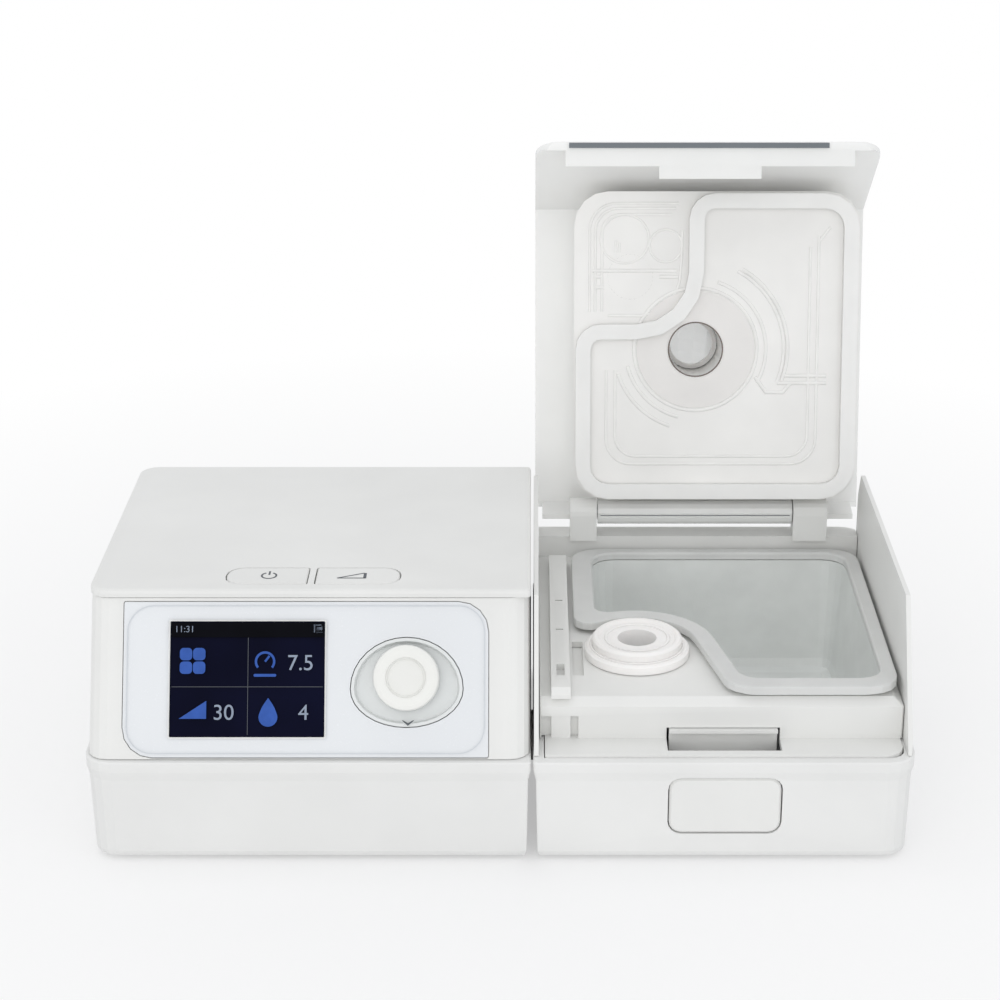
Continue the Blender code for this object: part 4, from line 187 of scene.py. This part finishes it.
finishes = {
    "bodyWhite": surface("bodyWhite", (0.81, 0.81, 0.79), 0.42, bump=0.18, edge=0.06),
    "baseWhite": surface("baseWhite", (0.815, 0.815, 0.80), 0.48, bump=0.22, edge=0.06),
    "glossWhite": surface("glossWhite", (0.88, 0.88, 0.855), 0.2, grain=900.0, bump=0.03, edge=0.03,
                          Coat_Weight=0.35, Coat_Roughness=0.08, Subsurface_Weight=0.4,
                          Subsurface_Scale=0.008, Subsurface_Radius=(1.0, 0.97, 0.93)),
    "film": surface("film", (0.77, 0.79, 0.81), 0.26, grain=1600.0, bump=0.05, Coat_Weight=0.4,
                    Coat_Roughness=0.15, cloud=14.0),
    "screenGlass": surface("screenGlass", (0.003, 0.0037, 0.0165), 0.3, grain=1200.0, bump=0.02, cloud=40.0,
                           shade=0.3, Specular_IOR_Level=0.03),
    "ivory": surface("ivory", (0.86, 0.86, 0.825), 0.38, bump=0.12, edge=0.05),
    "dishGrey": surface("dishGrey", (0.78, 0.80, 0.795), 0.36, bump=0.1, cloud=20.0),
    "frosted": surface("frosted", (0.76, 0.765, 0.75), 0.5, grain=1800.0, bump=0.22, shade=0.05, cloud=60.0,
                       edge=0.08, Transmission_Weight=0.12, IOR=1.42),
    "gasketPale": surface("gasketPale", (0.85, 0.845, 0.825), 0.5, grain=1800.0, bump=0.15, cloud=60.0,
                          edge=0.06, Subsurface_Weight=0.2, Subsurface_Scale=0.004,
                          Subsurface_Radius=(1.0, 0.95, 0.9)),
    "elbowMilk": surface("elbowMilk", (0.97, 0.97, 0.955), 0.3, grain=900.0, bump=0.04, shade=0.02,
                         Transmission_Weight=0.8, IOR=1.3),
    "sealPale": surface("sealPale", (0.94, 0.92, 0.90), 0.55, grain=1500.0, bump=0.12, shade=0.04, edge=0.1,
                        Subsurface_Weight=0.1, Subsurface_Scale=0.002,
                        Subsurface_Radius=(1.0, 0.9, 0.85)),
    "blasted": surface("blasted", (0.89, 0.905, 0.89), 0.38, grain=2200.0, bump=0.9, depth=0.0001, shade=0.08,
                       cloud=45.0, metal=0.5, spread=0.15),
    # on the clear cover the slow tone varies more than elsewhere: painted reflection, darker and paler
    # blotches
    "milky": surface("milky", (0.96, 0.95, 0.925), 0.18, grain=700.0, bump=0.05, shade=0.07, spread=0.03,
                     cloud=26.0, Transmission_Weight=0.1, IOR=1.35, Coat_Weight=0.3, Coat_Roughness=0.1),
    "steel": surface("steel", (0.5, 0.51, 0.53), 0.28, grain=500.0, bump=0.1, metal=1.0,
                     stretch=(0.1, 1.0, 1.0)),
    "board": surface("board", (0.02, 0.14, 0.06), 0.4, grain=1200.0, bump=0.15, shade=0.2, cloud=90.0),
    "darkPlastic": surface("darkPlastic", (0.025, 0.026, 0.028), 0.5, bump=0.25, shade=0.15, edge=0.15),
    "greyTrim": surface("greyTrim", (0.155, 0.175, 0.19), 0.42, bump=0.15, shade=0.06),
    "foam": surface("foam", (0.2, 0.2, 0.22), 0.9, grain=1400.0, bump=0.9, depth=0.0004, shade=0.3,
                    cloud=700.0),
    "coverGrey": surface("coverGrey", (0.55, 0.57, 0.58), 0.5, bump=0.2, shade=0.05, edge=0.08),
}

# the floor keeps a soft shadow near the object and fades to white further out
floorPaint = surface("floorPaint", (0.91, 0.91, 0.91), 0.75, grain=300.0, bump=0.02, shade=0.01, cloud=2.0)
tree = floorPaint.node_tree
shadow = next(n for n in tree.nodes if n.type == "BSDF_PRINCIPLED")
target = next(n for n in tree.nodes if n.type == "OUTPUT_MATERIAL")
white = tree.nodes.new("ShaderNodeEmission")
place = tree.nodes.new("ShaderNodeNewGeometry")
away = tree.nodes.new("ShaderNodeVectorMath")
away.operation = "LENGTH"
tree.links.new(place.outputs["Position"], away.inputs[0])
fade = tree.nodes.new("ShaderNodeMapRange")
for socket, value in floorValues["fade"].items():
    fade.inputs[socket].default_value = value
tree.links.new(away.outputs["Value"], fade.inputs["Value"])
path = tree.nodes.new("ShaderNodeLightPath")
seen = tree.nodes.new("ShaderNodeMath")
seen.operation = "MULTIPLY"
tree.links.new(fade.outputs["Result"], seen.inputs[0])
tree.links.new(path.outputs["Is Camera Ray"], seen.inputs[1])
mixed = tree.nodes.new("ShaderNodeMixShader")
tree.links.new(seen.outputs[0], mixed.inputs[0])
tree.links.new(shadow.outputs[0], mixed.inputs[1])
tree.links.new(white.outputs[0], mixed.inputs[2])
tree.links.new(mixed.outputs[0], target.inputs["Surface"])
floor.data.materials.append(floorPaint)

dressing = {
    "bodyWhite": ["main_housing", "humidifier_housing", "side_panel_left", "side_panel_right", "top_cover",
                  "connector_strip", "start_key", "ramp_key", "release_button", "latch_catch"],
    "baseWhite": ["main_base_tray", "humidifier_base_tray", "card_socket", "filter_tray", "lcd_holder",
                  "blower_lower_case", "blower_upper_case"],
    "coverGrey": ["filter_cover", "chamber_well", "port_duct", "outlet_duct"],
    "glossWhite": ["lid_shell"],
    "film": ["overlay_panel"],
    "screenGlass": ["display_window", "lcd_module"],
    "ivory": ["dial_knob"],
    "dishGrey": ["dial_dish"],
    "frosted": ["chamber_rim"],
    "gasketPale": ["lid_gasket"],
    "elbowMilk": ["outlet_elbow"],
    "sealPale": ["air_port_seal", "outlet_seal_ring", "coupling_seal", "key_mat"],
    "blasted": ["chamber_tub", "heater_plate", "heater_element"],
    "milky": ["lid_clear_cover"],
    "steel": ["hinge_pin", "main_screw", "humidifier_screw", "motor_shaft", "latch_spring", "encoder_shaft",
              "encoder_plunger"],
    "board": ["control_board", "key_board", "power_board"],
    "darkPlastic": ["memory_card", "power_inlet", "blower_motor", "blower_mount", "capacitor", "dial_encoder",
                    "impeller"],
    "greyTrim": ["lid_trim"],
    "foam": ["air_filter"],
}
for finish, members in dressing.items():
    for member in members:
        for place in nodes[member].material_slots:
            place.material = finishes[finish]
undressed = sorted(set(nodes) - {member for members in dressing.values() for member in members})
print("nodes left as imported:", undressed)


def finishPiece(name, mesh, place, finish, body):
    data = bpy.data.meshes.new(name)
    mesh.transform(place)
    mesh.to_mesh(data)
    mesh.free()
    made = bpy.data.objects.new(name, data)
    bpy.context.collection.objects.link(made)
    made.data.materials.append(finishes[finish])
    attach(made, body)
    return made


def flatPiece(name, outlines, place, thickness, finish, body):
    # each closed outline becomes a thin plate
    mesh = bmesh.new()
    for outline in outlines:
        low = [mesh.verts.new((x * mm, y * mm, 0.0)) for x, y in outline]
        high = [mesh.verts.new((x * mm, y * mm, thickness * mm)) for x, y in outline]
        mesh.faces.new(low[::-1])
        mesh.faces.new(high)
        for i in range(len(low)):
            j = (i + 1) % len(low)
            mesh.faces.new((low[i], low[j], high[j], high[i]))
    bmesh.ops.recalc_face_normals(mesh, faces=mesh.faces)
    return finishPiece(name, mesh, place, finish, body)


def ringPiece(name, rings, place, finish, body, smooth=True):
    # a band through closed rings of points, which closes on itself
    mesh = bmesh.new()
    rows = [[mesh.verts.new((x * mm, y * mm, z * mm)) for x, y, z in ring] for ring in rings]
    for a in range(len(rows)):
        b = (a + 1) % len(rows)
        for i in range(len(rows[0])):
            j = (i + 1) % len(rows[0])
            mesh.faces.new((rows[a][i], rows[a][j], rows[b][j], rows[b][i]))
    bmesh.ops.recalc_face_normals(mesh, faces=mesh.faces)
    made = finishPiece(name, mesh, place, finish, body)
    if smooth:
        for face in made.data.polygons:
            face.use_smooth = True
    return made


def circle(x, y, radius, count, start=0.0, turn=360.0):
    whole = turn >= 360.0
    steps = count if whole else count - 1
    return [(x + radius * math.cos(math.radians(start + turn * i / steps)),
             y + radius * math.sin(math.radians(start + turn * i / steps))) for i in range(count)]


def turnedPiece(name, section, count, place, finish, body):
    # a closed section of radius and height, turned about the place's own axis
    rings = [[(x, y, z) for x, y in circle(0.0, 0.0, radius, count)] for radius, z in section]
    return ringPiece(name, rings, place, finish, body)


def roundedBox(left, right, low, high, radius, steps):
    points = []
    for x, y, start in ((right - radius, high - radius, 0), (left + radius, high - radius, 90),
                        (left + radius, low + radius, 180), (right - radius, low + radius, 270)):
        points += [(x + radius * math.cos(math.radians(start + 90 * i / steps)),
                    y + radius * math.sin(math.radians(start + 90 * i / steps))) for i in range(steps + 1)]
    return points


def bandPiece(name, outer, inner, low, high, place, finish, body):
    rings = [[(x, y, low) for x, y in outer], [(x, y, high) for x, y in outer],
             [(x, y, high) for x, y in inner], [(x, y, low) for x, y in inner]]
    return ringPiece(name, rings, place, finish, body, smooth=False)


def arcBand(x, y, radius, width, start, turn, count=28):
    outside = circle(x, y, radius + width / 2, count, start, turn)
    inside = circle(x, y, radius - width / 2, count, start, turn)
    return outside + inside[::-1]


def bar(x0, y0, x1, y1, width):
    along = Vector((x1 - x0, y1 - y0)).normalized()
    side = Vector((-along.y, along.x)) * width / 2
    return [(x0 - side.x, y0 - side.y), (x1 - side.x, y1 - side.y), (x1 + side.x, y1 + side.y),
            (x0 + side.x, y0 + side.y)]


finishes["inkBlue"] = surface("inkBlue", (0.047, 0.115, 0.42), 0.25, grain=1500.0, bump=0.02, shade=0.12,
                              cloud=300.0, Specular_IOR_Level=0.03)
finishes["inkPale"] = surface("inkPale", (0.30, 0.35, 0.44), 0.3, grain=1500.0, bump=0.02, shade=0.08,
                              cloud=300.0, Specular_IOR_Level=0.03)
finishes["inkBlack"] = surface("inkBlack", (0.0022, 0.0024, 0.0045), 0.12, grain=1500.0, bump=0.02,
                               shade=0.3, cloud=80.0, Specular_IOR_Level=0.03)
finishes["inkGrey"] = surface("inkGrey", (0.085, 0.095, 0.11), 0.45, grain=1800.0, bump=0.05, shade=0.08,
                              cloud=200.0)
finishes["lineGrey"] = surface("lineGrey", (0.62, 0.65, 0.68), 0.4, grain=1500.0, bump=0.05, shade=0.04)

print("screen")

# the screen's own picture, laid on the outside of the window; a box is left, right, low, high,
# corner radius and steps, and a stroke is two ends and a width
screen = {"lift": 0.72, "thick": 0.04, "topBar": (-114.6, -66.2, 38.9, 43.6, 0.15, 2)}
onWindow = onPanel @ Matrix.Translation((0.0, 0.0, screen["lift"] * mm))
flatPiece("screenTopBar", [roundedBox(*screen["topBar"])], onWindow, screen["thick"], "inkBlack", "machine")

icons = {"squareLefts": (-111.9, -107.7), "squareLows": (27.3, 31.6), "squareSize": 3.95,
         "squareCorner": 1.25, "squareSteps": 5,
         "ramp": [(-112.0, 13.1), (-103.3, 13.1), (-103.3, 18.8)],
         "gaugeArc": (-84.8, 31.2, 2.9, 0.75, -40.0, 260.0), "needle": (-84.8, 31.2, -83.4, 33.0, 0.7),
         "gaugeFoot": (-88.4, -81.2, 26.4, 27.3, 0.4, 3)}
shapes = []
for x in icons["squareLefts"]:
    for y in icons["squareLows"]:
        shapes.append(roundedBox(x, x + icons["squareSize"], y, y + icons["squareSize"],
                                 icons["squareCorner"], icons["squareSteps"]))
shapes.append(icons["ramp"])
drop = {"x": -83.7, "y": 13.6, "radius": 3.0, "arc": range(-205, 26, 10), "tip": 6.1, "sideWidth": 0.92,
        "sideCurve": 0.8, "sideRise": 1.2, "sideSteps": (0.75, 0.5, 0.25, 0.0, -0.25, -0.5, -0.75)}
dropLine = [(drop["x"] + drop["radius"] * math.cos(math.radians(a)),
             drop["y"] + drop["radius"] * math.sin(math.radians(a))) for a in drop["arc"]]
for t in drop["sideSteps"]:
    rise = drop["tip"] * (1.0 - abs(t)) ** drop["sideCurve"] + drop["sideRise"] * abs(t)
    dropLine.append((drop["x"] + drop["radius"] * t * drop["sideWidth"], drop["y"] + rise))
shapes.append(dropLine)
shapes += [arcBand(*icons["gaugeArc"]), bar(*icons["needle"]), roundedBox(*icons["gaugeFoot"])]
flatPiece("screenIcons", shapes, onWindow, screen["thick"], "inkBlue", "machine")

cardMark = {"strokes": [(-69.2, 40.4, -69.2, 43.0, 0.4), (-69.4, 42.8, -67.2, 42.8, 0.4),
                        (-67.3, 42.9, -66.6, 42.1, 0.4), (-68.6, 40.6, -66.6, 40.6, 0.4)],
            "middle": (-68.5, -66.7, 41.1, 42.1, 0.2, 2)}
shapes = [bar(*stroke) for stroke in cardMark["strokes"]] + [roundedBox(*cardMark["middle"])]
flatPiece("screenCardMark", shapes, onWindow, screen["thick"], "inkPale", "machine")

rules = {"strokes": [(-90.2, 8.0, -90.2, 38.8, 0.16), (-114.4, 23.2, -66.4, 23.2, 0.16)], "thick": 0.02}
flatPiece("screenRules", [bar(*stroke) for stroke in rules["strokes"]], onWindow, rules["thick"], "inkGrey",
          "machine")

# digits with their place and height
digits = {"screenTime": ("11:31", -113.7, 40.55, 2.9), "screenPressure": ("7.5", -77.8, 28.5, 7.0),
          "screenMinutes": ("30", -101.3, 12.8, 6.9), "screenLevel": ("4", -74.2, 12.8, 6.9)}
for name, (text, x, y, size) in digits.items():
    bpy.ops.object.select_all(action="DESELECT")
    bpy.ops.object.text_add()
    word = bpy.context.object
    word.data.body = text
    word.data.size = size * mm
    word.data.extrude = screen["thick"] * mm / 2
    bpy.ops.object.convert(target="MESH")
    word = bpy.context.object
    word.name = name
    word.data.transform(onWindow @ Matrix.Translation((x * mm, y * mm, screen["thick"] * mm / 2)))
    word.data.materials.clear()
    word.data.materials.append(finishes["inkPale"])
    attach(word, "machine")

print("panel")

# the fine printed line just inside the film's edge
film = {"left": -129.9, "right": -13.9, "low": 0.9, "high": 50.2, "corner": 9.5, "steps": 8, "line": 1.1,
        "width": 0.28, "bottom": 0.66, "top": 0.735}
edges = []
for inset in (film["line"], film["line"] + film["width"]):
    edges.append(roundedBox(film["left"] + inset, film["right"] - inset, film["low"] + inset,
                            film["high"] - inset, film["corner"] - inset, film["steps"]))
bandPiece("filmEdgeLine", edges[0], edges[1], film["bottom"], film["top"], onPanel, "lineGrey", "machine")

# the bezel round the window
bezel = {"outside": (-115.5, -65.3, 6.8, 44.5, 0.6, 3), "inside": (-115.0, -65.8, 7.3, 44.0, 0.3, 3),
         "bottom": 0.6, "top": 0.78}
bandPiece("windowBezel", roundedBox(*bezel["outside"]), roundedBox(*bezel["inside"]), bezel["bottom"],
          bezel["top"], onPanel, "glossWhite", "machine")

# the arrow under the dial
pointer = {"outline": [(-41.3, 12.6), (-40.8, 12.6), (-39.3, 11.7), (-37.8, 12.6), (-37.3, 12.6),
                       (-39.3, 10.9)], "lift": 0.72, "thick": 0.05}
onFilm = onPanel @ Matrix.Translation((0.0, 0.0, pointer["lift"] * mm))
flatPiece("dialPointer", [pointer["outline"]], onFilm, pointer["thick"], "inkGrey", "machine")

print("dial")

# fine turned rings on the dial's cap, each with its radius, width and foot
dial = {"x": -39.8, "y": 26.0, "rise": 0.07, "count": 64,
        "rings": {"dialRingOuter": (8.9, 0.22, 6.36), "dialRingInner": (6.55, 0.18, 6.38),
                  "dialRingMiddle": (6.0, 0.12, 6.38)}}
onDial = onPanel @ Matrix.Translation((dial["x"] * mm, dial["y"] * mm, 0.0))
for name, (radius, width, low) in dial["rings"].items():
    section = [(radius - width, low), (radius - width / 2, low + dial["rise"]),
               (radius + width / 2, low + dial["rise"]), (radius + width, low)]
    turnedPiece(name, section, dial["count"], onDial, "ivory", "dial")

print("keys")

# the power and ramp marks, printed on the keys
keyMarks = {"top": 84.78, "thick": 0.03, "ring": (-84.9, 36.6, 2.35, 0.6, 118.0, 304.0),
            "stem": (-84.9, 37.2, -84.9, 40.1, 0.6),
            "ramp": [(-62.6, 34.6, -53.9, 34.6, 0.55), (-53.9, 34.3, -53.9, 38.6, 0.95),
                     (-62.8, 34.6, -54.2, 38.6, 0.5)]}
onKeys = onBody @ Matrix.Translation((0.0, 0.0, keyMarks["top"] * mm))
flatPiece("powerMark", [arcBand(*keyMarks["ring"]), bar(*keyMarks["stem"])], onKeys, keyMarks["thick"],
          "inkGrey", "start_button")
flatPiece("rampMark", [bar(*stroke) for stroke in keyMarks["ramp"]], onKeys, keyMarks["thick"], "inkGrey",
          "ramp_button")

print("lid")

finishes["ribClear"] = surface("ribClear", (0.96, 0.95, 0.925), 0.12, grain=700.0, bump=0.05, shade=0.05,
                               cloud=120.0, Transmission_Weight=0.1, IOR=1.4, Coat_Weight=0.5,
                               Coat_Roughness=0.06)
finishes["warmFrost"] = surface("warmFrost", (0.975, 0.955, 0.93), 0.45, grain=1500.0, bump=0.12, shade=0.04,
                                cloud=60.0, Transmission_Weight=0.2, IOR=1.4)
# a dark brown for the thin ring at the outlet disc's inner edge
finishes["darkBrownLine"] = surface("darkBrownLine", (0.16, 0.13, 0.115), 0.35, grain=1500.0, bump=0.1, shade=0.15,
                               cloud=200.0)


def ribPiece(name, runs, place, radius, finish, body, flat=1.0):
    # round ribs along runs of points; a run that ends where it starts is closed
    bpy.ops.object.select_all(action="DESELECT")
    curve = bpy.data.curves.new(name, "CURVE")
    curve.dimensions = "3D"
    curve.bevel_depth = radius * mm
    curve.bevel_resolution = 2
    curve.use_fill_caps = True
    for run in runs:
        closed = run[0] == run[-1]
        points = run[:-1] if closed else run
        line = curve.splines.new("POLY")
        line.points.add(len(points) - 1)
        for point, (x, y) in zip(line.points, points):
            point.co = (x * mm, y * mm, 0.0, 1.0)
        line.use_cyclic_u = closed
    made = bpy.data.objects.new(name, curve)
    bpy.context.collection.objects.link(made)
    bpy.context.view_layer.objects.active = made
    made.select_set(True)
    bpy.ops.object.convert(target="MESH")
    made = bpy.context.object
    made.data.transform(Matrix.Diagonal((1.0, 1.0, flat, 1.0)))
    made.data.transform(place)
    for face in made.data.polygons:
        face.use_smooth = True
    made.data.materials.clear()
    made.data.materials.append(finishes[finish])
    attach(made, body)
    return made


def closedRun(points):
    return points + [points[0]]


# closed lid, seen from above: x to the right, y to the back; the height is the cover's underside
under = {"height": 57.4, "outletX": 58.5, "outletY": 76.5, "inletX": 35.0, "inletY": 50.6}
onUnder = onLid @ Matrix.Translation((0.0, 0.0, under["height"] * mm))
outlet = (under["outletX"], under["outletY"])
inlet = (under["inletX"], under["inletY"])

# frosted disc round the outlet, and the dark edge inside it
disc = {"outside": 21.0, "inside": 9.9, "edgeInside": 9.45, "bottom": -0.25, "edgeBottom": -0.45, "top": 0.05,
        "count": 64}
discOut = circle(*outlet, disc["outside"], disc["count"])
discIn = circle(*outlet, disc["inside"], disc["count"])
edgeIn = circle(*outlet, disc["edgeInside"], disc["count"])
bandPiece("outletFrostDisc", discOut, discIn, disc["bottom"], disc["top"], onUnder, "warmFrost", "lid")
bandPiece("outletEdge", discIn, edgeIn, disc["edgeBottom"], disc["top"], onUnder, "darkBrownLine", "lid")

# a soft flap stands behind the cover's air inlet
flap = {"radius": 7.97, "thick": 0.6, "count": 48}
flapEdge = circle(*inlet, flap["radius"], flap["count"])
flatPiece("inletFlap", [flapEdge], onUnder, flap["thick"], "milky", "lid")

# curved air guides round the outlet: radius, count of points, start and turn of each
guides = {"arcs": [(25.2, 24, -72.0, 100.0), (31.6, 24, -62.0, 84.0), (33.0, 24, -60.0, 80.0),
                   (25.0, 18, 104.0, 62.0), (29.0, 18, 108.0, 54.0)], "ring": (22.0, 48),
          "radius": 0.65, "flat": 0.5}
runs = [circle(*outlet, *arc) for arc in guides["arcs"]] + [closedRun(circle(*outlet, *guides["ring"]))]
ribPiece("airGuides", runs, onUnder, guides["radius"], "ribClear", "lid", flat=guides["flat"])

# window frames, one inside the other, and the sweep round the air inlet
window = {"left": 20.5, "front": 24.6, "past": 90.0, "corner": 9.5, "cornerSteps": 8, "leftEnd": 63.0,
          "frontEnd": 52.0, "steps": (0.0, 2.0, 4.4), "frontShare": 0.9, "cornerShare": 0.7, "endShare": 0.5,
          "sweep": (37.3, 48.9, 15.6, 16, 10.0, 78.0), "sweepFrom": [(53.4, 34.0), (53.2, 44.0)],
          "sweepTo": [(27.0, 64.4)], "radius": 0.5, "flat": 0.45}
corner = window["cornerSteps"] + 1
runs = []
for step in window["steps"]:
    left = window["left"] + step
    front = window["front"] + step * window["frontShare"]
    box = roundedBox(left, window["past"], front, window["past"],
                     window["corner"] - step * window["cornerShare"], window["cornerSteps"])
    runs.append([(left, window["leftEnd"])] + box[2 * corner:3 * corner]
                + [(window["frontEnd"] - step * window["endShare"], front)])
runs.append(window["sweepFrom"] + circle(*window["sweep"]) + window["sweepTo"])
ribPiece("windowFrames", runs, onUnder, window["radius"], "ribClear", "lid", flat=window["flat"])

# round marks of the window: centre, radius and count of points
marks = {"rounds": [(33.0, 37.2, 8.6, 36), (47.6, 39.6, 5.8, 30)],
         "lines": [[(29.8, 37.5), (29.8, 42.0)], [(31.0, 38.5), (31.0, 42.0)]], "radius": 0.42, "flat": 0.45}
runs = [closedRun(circle(*mark)) for mark in marks["rounds"]] + marks["lines"]
ribPiece("roundMarks", runs, onUnder, marks["radius"], "ribClear", "lid", flat=marks["flat"])

# the double rib of the window
double = {"lines": [[(21.6, 48.4), (51.5, 48.4)], [(22.2, 50.6), (24.8, 50.6)], [(45.4, 50.6), (52.0, 50.6)],
                    [(22.6, 54.4), (25.6, 54.4)]], "radius": 0.65, "flat": 0.5}
ribPiece("doubleRib", double["lines"], onUnder, double["radius"], "ribClear", "lid", flat=double["flat"])

# inner steps of the large window: right, back, left, end of the right run, corner radius
large = {"steps": [(102.0, 118.0, 26.6, 36.0, 9.0), (99.0, 115.2, 29.8, 40.0, 7.5)], "leftEnd": 84.0,
         "cornerSteps": 8, "corner": [(106.0, 33.0), (102.2, 38.0)], "radius": 0.5, "flat": 0.45}
runs = []
for right, back, left, rightEnd, radius in large["steps"]:
    box = roundedBox(left, right, 0.0, back, radius, large["cornerSteps"])
    runs.append([(right, rightEnd)] + box[:2 * (large["cornerSteps"] + 1)] + [(left, large["leftEnd"])])
runs.append(large["corner"])
ribPiece("windowSteps", runs, onUnder, large["radius"], "ribClear", "lid", flat=large["flat"])

# the ribs at the large window's right
side = {"lines": [[(90.5, 86.0), (105.5, 86.0)], [(88.0, 88.6), (105.5, 88.6)],
                  [(80.0, 86.4), (84.0, 92.0), (90.0, 92.0), (92.6, 88.8)]], "radius": 0.7, "flat": 0.5}
ribPiece("sideRibs", side["lines"], onUnder, side["radius"], "ribClear", "lid", flat=side["flat"])

# the seam along the hinge barrel
seam = {"line": [(25.0, 0.0), (94.0, 0.0)], "depth": 132.38, "height": 67.2, "radius": 0.12}
onHinge = onBody @ Matrix.Translation((0.0, seam["depth"] * mm, seam["height"] * mm))
ribPiece("hingeSeam", [seam["line"]], onHinge, seam["radius"], "inkGrey", "lid")

print("humidifier")

# the raised inner lip of the air port and the bead at its foot, each a section of radius and height
port = {"count": 64, "lip": [(9.9, 56.22), (10.1, 56.5), (10.7, 56.5), (11.0, 56.22)],
        "foot": [(15.05, 53.82), (15.1, 54.15), (15.5, 54.1), (15.75, 53.82)]}
onPort = onBody @ Matrix.Translation((under["inletX"] * mm, under["inletY"] * mm, 0.0))
turnedPiece("portLip", port["lip"], port["count"], onPort, "sealPale", "machine")
turnedPiece("portFootBead", port["foot"], port["count"], onPort, "sealPale", "machine")

# pale backing behind the slot beside the port
slot = {"box": (13.0, 17.4, 33.6, 60.4, 0.4, 3), "height": 47.3, "thick": 0.8}
onDeck = onBody @ Matrix.Translation((0.0, 0.0, slot["height"] * mm))
flatPiece("slotFloor", [roundedBox(*slot["box"])], onDeck, slot["thick"], "bodyWhite", "machine")

# pale backing behind the notch at the front
notch = {"box": (2.8, 15.1, 36.6, 45.2, 0.3, 3), "depth": 18.95, "thick": 0.7}
onNotch = onBody @ Matrix.Translation((0.0, notch["depth"] * mm, 0.0)) @ Matrix.Rotation(quarterTurn, 4, "X")
flatPiece("notchBacking", [roundedBox(*notch["box"])], onNotch, notch["thick"], "bodyWhite", "machine")
